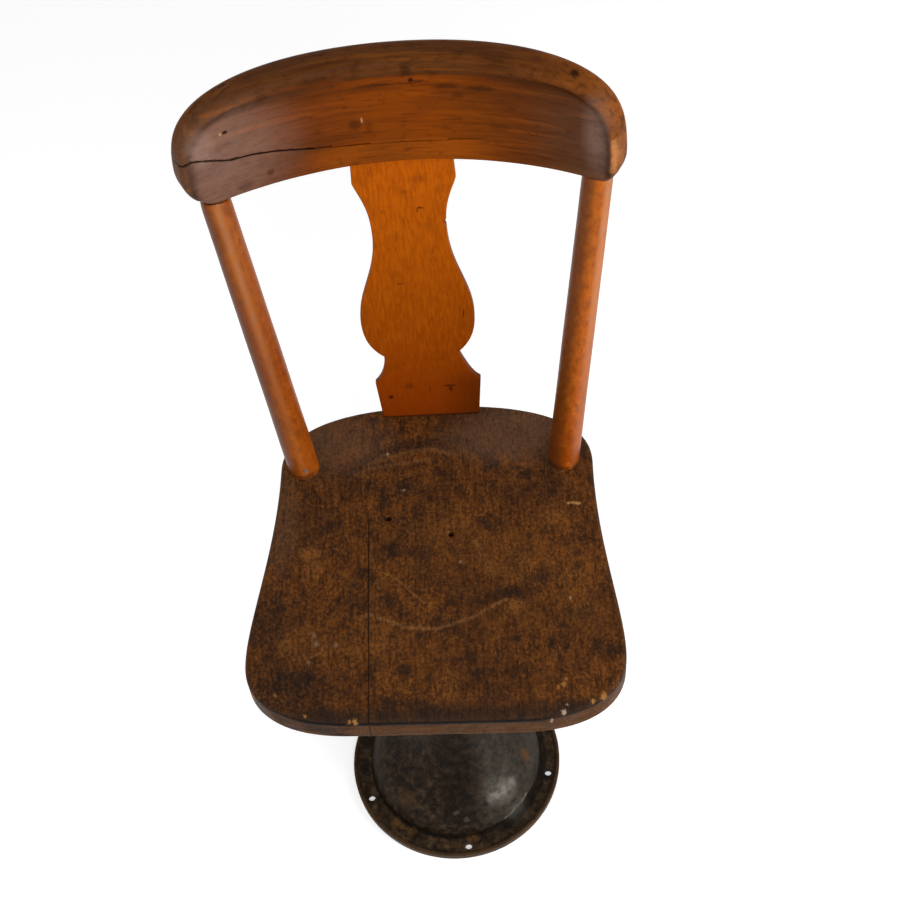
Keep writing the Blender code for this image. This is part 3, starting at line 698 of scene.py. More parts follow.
def bell_curve(steps):
    """The bell's outer line from its foot to the column, as (radius, height)."""
    points = interpolate_bezier(
        Vector((BELL_RADIUS, FLANGE_THICKNESS + BELL_STEP)),
        Vector((BELL_RADIUS, BELL_SHOULDER_HANDLE)),
        Vector((COLUMN_RADIUS, BELL_HEIGHT - BELL_NECK_HANDLE)),
        Vector((COLUMN_RADIUS, BELL_HEIGHT)),
        steps,
    )
    return [tuple(point) for point in points]


def inner_wall(curve, wall):
    """The same line moved inwards by the wall."""
    moved = []
    for i, point in enumerate(curve):
        before = Vector(curve[max(i - 1, 0)])
        after = Vector(curve[min(i + 1, len(curve) - 1)])
        along = (after - before).normalized()
        moved.append((point[0] - wall * along.y, point[1] + wall * along.x))
    return moved


def rounded_step(start, end, steps, bulge):
    """Points from start to end along a quarter of an ellipse; bulge 1 bends it outwards first."""
    points = []
    for step in range(steps + 1):
        angle = math.pi / 2 * step / steps
        across, along = 1 - math.cos(angle), math.sin(angle)
        if bulge:
            across, along = math.sin(angle), 1 - math.cos(angle)
        points.append((
            start[0] + (end[0] - start[0]) * across,
            start[1] + (end[1] - start[1]) * along,
        ))
    return points


def make_pedestal(surface):
    """One hollow casting: flange with a raised lip, bell and column."""
    edge = FLANGE_RADIUS
    lip_top = FLANGE_THICKNESS + LIP_HEIGHT
    soften = LIP_HEIGHT / 2
    bell = bell_curve(64)
    cavity = inner_wall(bell, PEDESTAL_WALL)
    outline = [(cavity[0][0], 0)]
    outline += rounded_step((edge - soften, 0), (edge, soften), 4, True)
    outline += rounded_step((edge, lip_top - soften), (edge - soften, lip_top), 4, False)
    outline += [(edge - LIP_WIDTH * share, FLANGE_THICKNESS + up) for share, up in LIP_SLOPE]
    outline += [(BELL_RADIUS + out, FLANGE_THICKNESS + up) for out, up in BELL_FILLET]
    outline += bell
    rise = COLUMN_TOP - BELL_HEIGHT
    outline += [(COLUMN_RADIUS, BELL_HEIGHT + rise * i / 20) for i in range(1, 21)]
    outline += [(COLUMN_RADIUS - PEDESTAL_WALL, COLUMN_TOP)]
    outline += cavity[::-4] + [cavity[0], (cavity[0][0], 0)]
    made = turned(outline, 144)
    for point in made.verts:
        if point.co.z <= 0.0001:
            continue
        out = Vector((point.co.x, point.co.y, 0)).normalized()
        wave = noise.noise(point.co * 25) + 0.5 * noise.noise(point.co * 80)
        point.co -= out * CASTING_WAVE * (1 + wave) / 2
    made.transform(Matrix.Translation(AXIS))
    pedestal = mesh_object("pedestal_casting", made, surface)
    places = []
    for number in range(FLANGE_HOLES):
        angle = FLANGE_HOLE_TURN + 2 * math.pi * number / FLANGE_HOLES
        places.append(FLANGE_HOLE_CIRCLE * Vector((math.sin(angle), -math.cos(angle))))
    high = lip_top + OVERRUN
    cut(pedestal, *drills("flange_hole_cutter", FLANGE_HOLE_RADIUS, -OVERRUN, high, places, 28))
    dress(pedestal, "cast_iron", "pedestal")


# Shading helpers

class Nodes:
    """A tree of shader nodes, with short ways to make the ones that are used here."""

    def __init__(self, tree):
        self.tree = tree

    def feed(self, socket, value):
        """Links a socket to another, or sets its value."""
        if isinstance(value, bpy.types.NodeSocket):
            self.tree.links.new(value, socket)
        else:
            socket.default_value = value

    def node(self, kind, sockets=None, **settings):
        """A node with these settings, and these values or links in its sockets."""
        made = self.tree.nodes.new(kind)
        for name, value in settings.items():
            setattr(made, name, value)
        for name, value in (sockets or {}).items():
            self.feed(made.inputs[name], value)
        return made

    def maths(self, operation, *values, clamp=False):
        sockets = dict(enumerate(values))
        made = self.node("ShaderNodeMath", sockets, operation=operation, use_clamp=clamp)
        return made.outputs["Value"]

    def times(self, *values):
        """All the values multiplied together."""
        product = values[0]
        for value in values[1:]:
            product = self.maths("MULTIPLY", product, value)
        return product

    def strongest(self, values):
        found = values[0]
        for value in values[1:]:
            found = self.maths("MAXIMUM", found, value)
        return found


class Finish(Nodes):
    """A material. Places are vectors, and textures and marks are numbers from 0 to 1."""

    def __init__(self, name, roughness, specular, metallic=0.0):
        self.material = bpy.data.materials.new(name)
        self.material.use_nodes = True
        super().__init__(self.material.node_tree)
        self.shader = self.tree.nodes["Principled BSDF"]
        self.shader.inputs["Roughness"].default_value = roughness
        self.shader.inputs["Specular IOR Level"].default_value = specular
        self.shader.inputs["Metallic"].default_value = metallic
        self.place = self.node("ShaderNodeTexCoord").outputs["Object"]

    def vectors(self, operation, *values):
        made = self.node("ShaderNodeVectorMath", dict(enumerate(values)), operation=operation)
        return made.outputs["Value" if operation in ("LENGTH", "DOT_PRODUCT") else "Vector"]

    def moved(self, place, placing):
        """The place in the axes of this placing, which is turned and shifted but not scaled."""
        sockets = {
            "Vector": place,
            "Location": placing.to_translation(),
            "Rotation": placing.to_euler(),
        }
        return self.node("ShaderNodeMapping", sockets, vector_type="TEXTURE").outputs["Vector"]

    def split(self, place):
        return self.node("ShaderNodeSeparateXYZ", {"Vector": place}).outputs

    def clouds(self, place, scale, detail, roughness, stretch=(1, 1, 1), shift=(0, 0, 0)):
        """Soft noise; stretch is how much finer it is along each axis."""
        spread = self.vectors("MULTIPLY", place, stretch)
        return self.node("ShaderNodeTexNoise", {
            "Vector": self.vectors("ADD", spread, shift),
            "Scale": scale,
            "Detail": detail,
            "Roughness": roughness,
        }).outputs["Fac"]

    def warped(self, place, scale, amount, detail):
        """The place pushed about by noise, so that marks drawn there get ragged edges."""
        clouds = {"Vector": place, "Scale": scale, "Detail": detail}
        colours = self.node("ShaderNodeTexNoise", clouds).outputs["Color"]
        push = self.vectors("SUBTRACT", colours, (0.5, 0.5, 0.5))
        return self.vectors("ADD", place, self.vectors("MULTIPLY", push, (amount,) * 3))

    def between(self, value, low, high, start=0.0, end=1.0):
        """The value's smooth climb from start at low to end at high."""
        return self.node("ShaderNodeMapRange", {
            "Value": value,
            "From Min": low,
            "From Max": high,
            "To Min": start,
            "To Max": end,
        }, interpolation_type="SMOOTHSTEP").outputs["Result"]

    def spots(self, place, marks, soft=0.5):
        """The strength inside each ellipsoid of (centre, radii, strength), and 0 past its edge."""
        found = []
        for centre, radii, strength in marks:
            offset = self.vectors("SUBTRACT", place, centre)
            reach = self.vectors("LENGTH", self.vectors("DIVIDE", offset, radii))
            found.append(self.between(reach, 1 + soft, 1 - soft, 0.0, strength))
        return self.strongest(found)

    def strokes(self, place, line, width, strength):
        """Strength along a line of points, falling to 0 at this distance from it."""
        found = []
        for start, end in zip(line, line[1:]):
            run = Vector(end) - Vector(start)
            offset = self.vectors("SUBTRACT", place, start)
            along = self.vectors("DOT_PRODUCT", offset, run)
            share = self.maths("MULTIPLY", along, 1 / run.length_squared, clamp=True)
            sockets = {0: run, "Scale": share}
            reached = self.node("ShaderNodeVectorMath", sockets, operation="SCALE")
            gap = self.vectors("SUBTRACT", offset, reached.outputs["Vector"])
            reach = self.vectors("LENGTH", gap)
            found.append(self.between(reach, width, width * STROKE_CORE, 0.0, strength))
        return self.strongest(found)

    def blend(self, amount, first, second):
        """The first colour, with this share of the second over it."""
        made = self.node("ShaderNodeMix", {"Factor": amount}, data_type="RGBA")
        for name, value in zip(MIX_COLOURS, (first, second)):
            self.feed(made.inputs[name], (*value, 1) if isinstance(value, tuple) else value)
        return made.outputs[MIX_RESULT]

    def layers(self, colour, rows):
        """The colour under coats of (texture, its low end, its high end, amount, colour)."""
        for texture, low, high, amount, coat in rows:
            colour = self.blend(self.between(texture, low, high, 0.0, amount), colour, coat)
        return colour

    def ramp(self, value, stops):
        """A colour for each value, from (place, colour) stops."""
        made = self.node("ShaderNodeValToRGB", {"Fac": value})
        points = made.color_ramp.elements
        while len(points) < len(stops):
            points.new(1)
        for point, (place, colour) in zip(points, stops):
            point.position = place
            point.color = (*colour, 1)
        return made.outputs["Color"]

    def finish(self, colour, height, distance, roughness):
        """Sets the colour, the relief in metres at height 1, and the roughness."""
        bump = self.node("ShaderNodeBump", {"Distance": distance, "Height": height})
        self.feed(self.shader.inputs["Base Color"], colour)
        self.feed(self.shader.inputs["Roughness"], roughness)
        self.feed(self.shader.inputs["Normal"], bump.outputs["Normal"])
        return self.material


STROKE_CORE = 0.2  # the share of a stroke's width that has its full strength
MIX_COLOURS = (6, 7)  # a Mix node's inputs for the two colours
MIX_RESULT = 2  # and its output for the blend of them


# Finishes

def crest_board_place(wood):
    """The place on the crest's flat board: along it, through its thickness and up it."""
    x, y, height = wood.split(wood.moved(wood.place, crest_placing()))
    lean = wood.maths("SUBTRACT", y, wood.times(height, BACK_LEAN))
    back = wood.maths("ADD", lean, CREST_RADIUS)
    along = wood.times(wood.maths("ARCTAN2", x, back), CREST_RADIUS)
    squares = wood.maths("ADD", wood.times(x, x), wood.times(back, back))
    depth = wood.maths("SUBTRACT", wood.maths("SQRT", squares), CREST_RADIUS)
    flat = wood.node("ShaderNodeCombineXYZ", {0: along, 1: depth, 2: height})
    return flat.outputs["Vector"]


def crest_inset(wood, along, height):
    """The distance in from the crest's ends and top."""
    across = wood.maths("DIVIDE", wood.maths("ABSOLUTE", along), CREST_END)
    raised = wood.maths("MAXIMUM", wood.maths("SUBTRACT", height, CREST_WIDEST_HEIGHT), 0.0)
    rise = wood.maths("DIVIDE", raised, CREST_SIDE_RISE)
    power = CREST_TOP_POWER
    powers = [wood.maths("POWER", value, power) for value in (across, rise)]
    share = wood.maths("POWER", wood.maths("ADD", *powers), 1 / power)
    squares = []
    for value, size in ((across, CREST_END), (rise, CREST_SIDE_RISE)):
        slope = wood.maths("DIVIDE", wood.maths("POWER", value, power - 1), size)
        squares.append(wood.times(slope, slope))
    steepness = wood.maths("SQRT", wood.maths("ADD", *squares))
    slope = wood.times(wood.maths("POWER", share, 1 - power), steepness)
    return wood.maths("DIVIDE", wood.maths("SUBTRACT", 1.0, share), slope)


CREST_SPOTS = (  # along, height, their radii, strength
    (0.017, 0.088, 0.0026, 0.002, 0.95),
    (0.013, 0.099, 0.005, 0.0055, 0.6),
    (-0.018, 0.085, 0.018, 0.0014, 0.6),
    (0.024, 0.087, 0.006, 0.0014, 0.6),
    (0.05, 0.0815, 0.014, 0.0022, 0.6),
    (0.082, 0.08, 0.015, 0.0026, 0.55),
    (0.06, 0.072, 0.006, 0.003, 0.4),
    (-0.0416, 0.0461, 0.006, 0.005, 0.55),
    (-0.028, 0.042, 0.004, 0.006, 0.3),
    (-0.1293, 0.015, 0.0034, 0.003, 0.5),
    (-0.155, 0.0085, 0.008, 0.004, 0.35),
    (0.098, 0.04, 0.01, 0.004, 0.35),
    (-0.1655, 0.0718, 0.0024, 0.0016, 1.0),
    (-0.125, 0.095, 0.007, 0.004, 0.45),
    (-0.07, 0.099, 0.02, 0.003, 0.45),
)
CREST_PAINTED_CRACK = 11  # how many points of the crack its dark line follows


def crest_finish():
    wood = Finish("crest_wood_worn", 0.4, 0.04)
    flat = crest_board_place(wood)
    along, depth, height = wood.split(flat)
    aside = wood.maths("ABSOLUTE", along)
    ragged = wood.warped(flat, 160, 0.004, 3)
    inset = crest_inset(wood, *(wood.split(ragged)[i] for i in (0, 2)))

    streaks = wood.clouds(flat, 75, 5, 0.62, (0.1, 1.2, 1.9))
    fine = wood.clouds(flat, 260, 4, 0.62, (0.1, 1.0, 1.5), (4, 2, 1))
    mottle = wood.clouds(flat, 120, 5, 0.66, (0.6, 1, 1), (3, 1, 7))
    broad = wood.clouds(flat, 16, 3, 0.5, (0.6, 2, 2), (1, 5, 2))

    # The sunk face; the greyer colour at both its ends is painted sheen
    share = wood.maths("MULTIPLY_ADD", along, 0.5 / CREST_END, 0.5)
    colour = wood.ramp(share, (
        (0.04, (0.15, 0.07, 0.048)),
        (0.13, (0.138, 0.058, 0.034)),
        (0.22, (0.13, 0.038, 0.012)),
        (0.32, (0.13, 0.028, 0.003)),
        (0.45, (0.186, 0.037, 0.001)),
        (0.57, (0.202, 0.039, 0.0008)),
        (0.68, (0.15, 0.032, 0.0012)),
        (0.78, (0.118, 0.027, 0.003)),
        (0.87, (0.096, 0.035, 0.013)),
        (0.96, (0.093, 0.041, 0.024)),
    ))
    colour = wood.layers(colour, (
        (streaks, 0.54, 0.3, 0.5, (0.06, 0.015, 0.002)),
        (streaks, 0.52, 0.75, 0.3, (0.34, 0.08, 0.006)),
    ))
    low = wood.times(
        wood.between(height, 0.028, 0.022), wood.between(aside, 0.12, 0.05, 0.0, 0.6)
    )
    colour = wood.blend(low, colour, (0.31, 0.066, 0.0016))

    # The rolled rim round it, and painted shade in the crease between them
    rolled = wood.ramp(share, (
        (0.02, (0.115, 0.04, 0.01)),
        (0.12, (0.125, 0.038, 0.006)),
        (0.25, (0.095, 0.034, 0.01)),
        (0.5, (0.1, 0.031, 0.006)),
        (0.75, (0.098, 0.029, 0.006)),
        (0.88, (0.2, 0.055, 0.008)),
        (0.98, (0.25, 0.07, 0.01)),
    ))
    rolled = wood.layers(rolled, (
        (mottle, 0.45, 0.66, 0.6, (0.045, 0.015, 0.003)),
        (streaks, 0.5, 0.7, 0.55, (0.26, 0.075, 0.008)),
    ))
    reach = wood.between(aside, 0.12, 0.19, 0.0145, 0.0075)
    outside = wood.maths("SUBTRACT", inset, reach)
    middle = wood.between(aside, 0.17, 0.11, 0.0, 0.045)
    uneven = wood.times(wood.maths("SUBTRACT", streaks, 0.5), middle)
    edge = wood.maths("ADD", outside, uneven)
    colour = wood.blend(wood.between(edge, 0.004, -0.004), colour, rolled)
    # painted shade in the crease between the rolled rim and the sunk face
    painted_crease_shade = wood.times(
        wood.between(outside, 0.01, 0.001),
        wood.between(outside, -0.0045, 0.0),
        wood.between(aside, 0.05, 0.17, 0.25, 0.92),
    )
    colour = wood.blend(painted_crease_shade, colour, (0.032, 0.0085, 0.0012))

    colour = wood.layers(colour, (
        (broad, 0.42, 0.66, 0.45, (0.075, 0.019, 0.003)),
        (mottle, 0.54, 0.72, 0.55, (0.055, 0.015, 0.003)),
        (fine, 0.52, 0.7, 0.5, (0.045, 0.01, 0.001)),
    ))
    # painted sheen on both ends of the sunk face, broken by the mottle
    painted_sheen = wood.spots(ragged, (
        ((-0.19, -0.016, 0.062), (0.016, 0.02, 0.02), 0.55),
        ((-0.16, -0.016, 0.045), (0.05, 0.02, 0.045), 0.3),
        ((0.195, -0.016, 0.05), (0.012, 0.02, 0.035), 0.35),
    ), 0.7)
    painted_sheen = wood.times(painted_sheen, wood.between(mottle, 0.3, 0.62, 0.5, 1.0))
    colour = wood.blend(painted_sheen, colour, (0.33, 0.21, 0.165))

    # Stains, the crack's painted shade, a painted highlight on the right roll and two pale ticks
    marks = [
        ((x, -CREST_THICKNESS / 2, z), (wide, 0.012, tall), strength)
        for x, z, wide, tall, strength in CREST_SPOTS
    ]
    marks.append(((0.1692, -0.001, 0.0991), (0.0042, 0.0042, 0.0042), 0.95))
    marks.append(((-0.155, 0.006, 0.1025), (0.0045, 0.0016, 0.004), 0.8))
    marks.append(((-0.208, 0.0, 0.052), (0.008, 0.004, 0.0012), 0.7))
    stains = wood.spots(wood.warped(flat, 300, 0.003, 2), marks, 0.55)
    colour = wood.blend(stains, colour, (0.02, 0.006, 0.0015))
    face = wood.vectors("MULTIPLY", wood.warped(flat, 400, 0.0006, 2), (1, 0, 1))
    # painted shade: a dark line along the crack
    split = wood.times(
        wood.strokes(face, [
            (place - CREST_END, 0, up)
            for place, up, wide, deep in CRACK_PATH[:CREST_PAINTED_CRACK]
        ], 0.0014, 0.95),
        wood.between(along, -0.03, -0.09),
        wood.between(depth, 0.004, -0.004),
    )
    colour = wood.blend(split, colour, (0.008, 0.0028, 0.0008))
    # painted highlight on the right roll
    painted_highlight = wood.times(
        wood.strokes(
            face, ((0.2116, 0, 0.048), (0.2122, 0, 0.034), (0.21, 0, 0.016)), 0.0042, 0.5
        ),
        wood.between(depth, 0.0, -0.008),
        wood.between(mottle, 0.6, 0.35, 0.5, 1.0),
    )
    colour = wood.blend(painted_highlight, colour, (0.62, 0.27, 0.1))
    ticks = wood.spots(flat, (
        ((-0.17, -0.016, 0.0715), (0.0012, 0.01, 0.0016), 0.7),
        ((-0.0342, -0.016, 0.0503), (0.001, 0.01, 0.0028), 0.6),
    ))
    colour = wood.blend(ticks, colour, (0.5, 0.26, 0.12))
    relief = wood.maths("ADD", wood.times(fine, 0.5), mottle)
    relief = wood.maths("SUBTRACT", relief, stains)
    return wood.finish(colour, relief, 0.0004, wood.between(mottle, 0.3, 0.7, 0.32, 0.48))


SPLAT_SPOTS = (  # across, height, their radii, strength
    (0.0089, 0.2985, 0.0034, 0.0012, 0.85),
    (0.006, 0.295, 0.001, 0.0034, 0.6),
    (-0.0421, 0.0324, 0.0026, 0.0024, 0.95),
    (0.0232, 0.0462, 0.006, 0.0014, 0.85),
    (0.0238, 0.041, 0.0022, 0.0036, 0.75),
    (0.0012, 0.042, 0.0008, 0.006, 0.4),
    (-0.021, 0.048, 0.005, 0.005, 0.35),
    (0.0436, 0.1527, 0.0008, 0.006, 0.7),
    (0.04, 0.16, 0.0007, 0.005, 0.5),
    (-0.0041, 0.3192, 0.004, 0.003, 0.25),
    (0.009, 0.334, 0.009, 0.004, 0.16),
    (-0.029, 0.295, 0.0018, 0.002, 0.3),
    (-0.018, 0.199, 0.004, 0.002, 0.35),
)


def splat_finish():
    wood = Finish("splat_wood_worn", 0.45, 0.04)
    flat = wood.moved(wood.place, splat_placing())
    across, height, depth = wood.split(flat)
    grain = wood.clouds(flat, 300, 4, 0.6, (1.1, 0.2, 1))
    flecks = wood.clouds(flat, 650, 3, 0.6, (1.0, 0.16, 1), (2, 0, 3))
    blots = wood.clouds(flat, 60, 5, 0.62, (1, 0.7, 1), (7, 1, 1))
    colour = wood.ramp(wood.maths("DIVIDE", height, SPLAT_HEIGHT), (
        (0.00, (0.185, 0.027, 0.0008)),
        (0.06, (0.23, 0.035, 0.0008)),
        (0.16, (0.262, 0.043, 0.0008)),
        (0.36, (0.295, 0.0575, 0.0009)),
        (0.62, (0.36, 0.074, 0.001)),
        (0.92, (0.43, 0.087, 0.001)),
    ))
    colour = wood.layers(colour, ((grain, 0.56, 0.36, 0.32, (0.2, 0.033, 0.0006)),))
    light = wood.times(
        wood.between(grain, 0.5, 0.68), wood.between(height, 0.05, 0.12, 0.05, 0.2)
    )
    colour = wood.blend(light, colour, (0.54, 0.125, 0.002))
    colour = wood.layers(colour, (
        (blots, 0.5, 0.7, 0.4, (0.2, 0.035, 0.0008)),
        (flecks, 0.57, 0.72, 0.38, (0.12, 0.02, 0.0006)),
    ))
    corner = wood.times(
        wood.between(across, 0.005, 0.05), wood.between(height, 0.085, 0.045), 0.6
    )
    colour = wood.blend(corner, colour, (0.085, 0.017, 0.0012))
    front = SPLAT_THICKNESS / 2
    stains = wood.spots(wood.warped(flat, 350, 0.0025, 2), [
        ((x, y, front), (wide, tall, 0.005), strength)
        for x, y, wide, tall, strength in SPLAT_SPOTS
    ])
    colour = wood.blend(stains, colour, (0.04, 0.008, 0.001))
    edge = wood.maths("ABSOLUTE", depth)
    colour = wood.layers(colour, (
        (edge, front - 0.0008, front - 0.0022, 0.7, (0.12, 0.03, 0.003)),
        (height, 0.0032, 0.0008, 0.8, (0.02, 0.009, 0.004)),
    ))
    relief = wood.maths("SUBTRACT", flecks, stains)
    return wood.finish(colour, relief, 0.0003, wood.between(grain, 0.3, 0.7, 0.38, 0.5))


POST_COLOURS = {  # up the left and the right post, (share of its height, colour)
    -1: (
        (0.00, (0.3, 0.066, 0.003)),
        (0.1, (0.335, 0.074, 0.0034)),
        (0.45, (0.255, 0.05, 0.0024)),
        (0.95, (0.33, 0.08, 0.0055)),
    ),
    1: (
        (0.00, (0.255, 0.044, 0.0016)),
        (0.1, (0.35, 0.066, 0.0024)),
        (0.45, (0.385, 0.084, 0.0036)),
        (0.95, (0.41, 0.096, 0.0048)),
    ),
}
POST_WEAR = {-1: 0.25, 1: 0.45}
# Painted highlight stripes down the posts
POST_PAINTED_HIGHLIGHTS = {-1: (0.0035, 0.0065, 0.32), 1: (0.0095, 0.006, 0.44)}  # across, width, strength


def post_finish(name, side):
    wood = Finish(name, 0.34, 0.14)
    placing = frame_towards(post_place(0, side), post_place(BACK_HEIGHT, side))
    flat = wood.moved(wood.place, placing)
    across, around, height = wood.split(flat)
    mottle = wood.clouds(flat, 170, 5, 0.64, (1, 1, 0.7))
    broad = wood.clouds(flat, 42, 4, 0.6, (1, 1, 0.45), (5, side, 2))
    fibres = wood.clouds(flat, 600, 3, 0.55, (1, 1, 0.1))
    colour = wood.ramp(wood.maths("DIVIDE", height, BACK_HEIGHT), POST_COLOURS[side])
    colour = wood.layers(colour, (
        (mottle, 0.55, 0.32, 0.55, (0.16, 0.032, 0.0016)),
        (mottle, 0.5, 0.7, POST_WEAR[side], (0.5, 0.15, 0.01)),
        (broad, 0.48, 0.7, 0.55, (0.17, 0.034, 0.0018)),
        (fibres, 0.54, 0.7, 0.35, (0.13, 0.026, 0.0012)),
        # painted shade down the left side of the post
        (across, 0.003, -0.012, 0.72, (0.085, 0.024, 0.004)),
    ))
    centre, reach, strength = POST_PAINTED_HIGHLIGHTS[side]
    aside = wood.maths("ABSOLUTE", wood.maths("SUBTRACT", across, centre))
    # painted highlight down the post
    painted_post_highlight = wood.times(
        wood.between(aside, reach, 0.0),
        wood.between(around, 0.004, -0.004),
        wood.between(height, 0.05, 0.3, 0.12, strength),
        wood.between(mottle, 0.66, 0.38, 0.45, 1.0),
    )
    colour = wood.blend(painted_post_highlight, colour, (0.62, 0.3, 0.135))
    dirt = wood.times(
        wood.between(height, 0.0045, 0.0005), wood.between(broad, 0.35, 0.6, 0.1, 0.7)
    )
    colour = wood.blend(dirt, colour, (0.03, 0.012, 0.004))
    return wood.finish(colour, mottle, 0.0004, wood.between(mottle, 0.3, 0.7, 0.3, 0.44))


SEAT_DARK = (  # x, y, their radii, strength
    (-0.15, -0.118, 0.045, 0.034, 0.9),
    (-0.168, -0.03, 0.02, 0.04, 0.7),
    (-0.145, 0.08, 0.03, 0.045, 0.45),
    (-0.118, 0.15, 0.018, 0.012, 0.55),
    (-0.085, 0.128, 0.02, 0.012, 0.5),
    (-0.035, 0.122, 0.04, 0.01, 0.6),
    (-0.044, 0.152, 0.026, 0.007, 0.6),
    (-0.032, 0.072, 0.008, 0.026, 0.65),
    (-0.016, 0.08, 0.006, 0.024, 0.55),
    (-0.048, 0.048, 0.014, 0.012, 0.5),
    (0.105, -0.002, 0.016, 0.011, 0.7),
    (0.083, -0.014, 0.013, 0.01, 0.75),
    (-0.1588, -0.0324, 0.015, 0.022, 0.6),
    (-0.0605, -0.0865, 0.008, 0.007, 0.75),
    (-0.0502, -0.14, 0.01, 0.012, 0.8),
    (0.09, 0.11, 0.018, 0.016, 0.45),
    (0.125, 0.12, 0.012, 0.03, 0.6),
    (0.12, 0.16, 0.01, 0.022, 0.6),
    (0.155, 0.055, 0.01, 0.01, 0.5),
    (0.06, -0.125, 0.016, 0.01, 0.6),
    (-0.01, 0.008, 0.02, 0.012, 0.3),
)
SEAT_LIGHT = (
    (-0.129, 0.0463, 0.01, 0.008, 0.8),
    (-0.125, 0.028, 0.008, 0.01, 0.5),
    (-0.06, -0.06, 0.03, 0.02, 0.2),
    (0.0838, -0.027, 0.01, 0.008, 0.6),
    (0.1, 0.025, 0.04, 0.025, 0.2),
    (0.013, -0.11, 0.012, 0.01, 0.25),
    (0.13, 0.08, 0.02, 0.018, 0.3),
    (-0.14, -0.06, 0.02, 0.02, 0.2),
    (0.02, 0.06, 0.04, 0.03, 0.18),
    (-0.15, -0.062, 0.008, 0.012, 0.45),
    (0.15, 0.000, 0.02, 0.05, 0.2),
)
SEAT_SCRATCHES = (  # their points on the seat's top, width and strength
    (((-0.0753, -0.033), (-0.0682, -0.0287), (-0.0517, -0.0354), (-0.0301, -0.0457),
      (0.0025, -0.0496), (0.0415, -0.0365), (0.0613, -0.0247), (0.075, -0.018)), 0.0032, 0.38),
    (((-0.0602, 0.0064), (-0.0477, 0.0177), (-0.0373, 0.01), (-0.0105, -0.0187)), 0.002, 0.26),
    (((-0.056, 0.000), (-0.0602, 0.008), (-0.063, 0.004)), 0.0018, 0.26),
    (((-0.11, -0.06), (-0.118, -0.072), (-0.127, -0.076)), 0.002, 0.25),
    (((-0.07, 0.156), (-0.0525, 0.1655), (-0.0055, 0.1734), (0.0174, 0.1668)), 0.005, 0.22),
    (((-0.07, 0.15), (-0.035, 0.156), (0.0000, 0.16)), 0.0045, 0.2),
    (((0.045, 0.052), (0.055, 0.03), (0.062, 0.012)), 0.005, 0.15),
)
SEAT_RING = (
    (-0.092, 0.148, 0), (-0.07, 0.1638, 0), (-0.04, 0.176, 0), (-0.0054, 0.1813, 0),
    (0.0231, 0.1837, 0), (0.043, 0.177, 0), (0.06, 0.16, 0), (0.0741, 0.1387, 0),
)
SEAT_CHIPS = (  # x, y, height below the top, radius, strength
    (-0.1848, -0.1104, 0.012, 0.004, 0.9),
    (-0.0801, -0.1488, 0.002, 0.0032, 0.9),
    (-0.086, -0.149, 0.002, 0.002, 0.7),
    (-0.1606, -0.1164, 0.000, 0.0022, 0.5),
    (-0.1298, -0.1407, 0.000, 0.002, 0.8),
    (0.1554, -0.1373, 0.001, 0.0024, 0.9),
    (0.1666, -0.1318, 0.002, 0.004, 0.7),
    (0.1279, -0.1177, 0.000, 0.003, 0.7),
    (0.13, -0.112, 0.000, 0.002, 0.5),
    (0.1218, -0.1207, 0.000, 0.0022, 0.6),
)
SEAT_PALE = (
    (0.1262, -0.1477, 0.001, 0.003, 0.9),
    (0.1296, -0.1408, 0.000, 0.0016, 0.7),
    (0.1141, -0.1526, 0.01, 0.0016, 0.8),
    (0.1485, 0.141, 0.000, 0.002, 0.9),
    (0.1408, 0.1375, 0.000, 0.0016, 0.8),
    (0.144, 0.1385, 0.000, 0.0012, 0.8),
    (-0.0481, 0.1692, 0.000, 0.0016, 0.6),
    (-0.0308, 0.1213, 0.000, 0.0018, 0.5),
    (-0.1209, -0.0609, 0.000, 0.0034, 0.22),
    (-0.1004, -0.063, 0.000, 0.0024, 0.22),
    (-0.1232, -0.0504, 0.000, 0.0026, 0.16),
    (-0.1285, -0.081, 0.000, 0.0024, 0.2),
    (0.028, 0.029, 0.000, 0.0014, 0.4),
    (0.14, -0.02, 0.000, 0.0014, 0.5),
)
SEAT_DIRT = (0.0125, 0.0085, 0.0068)


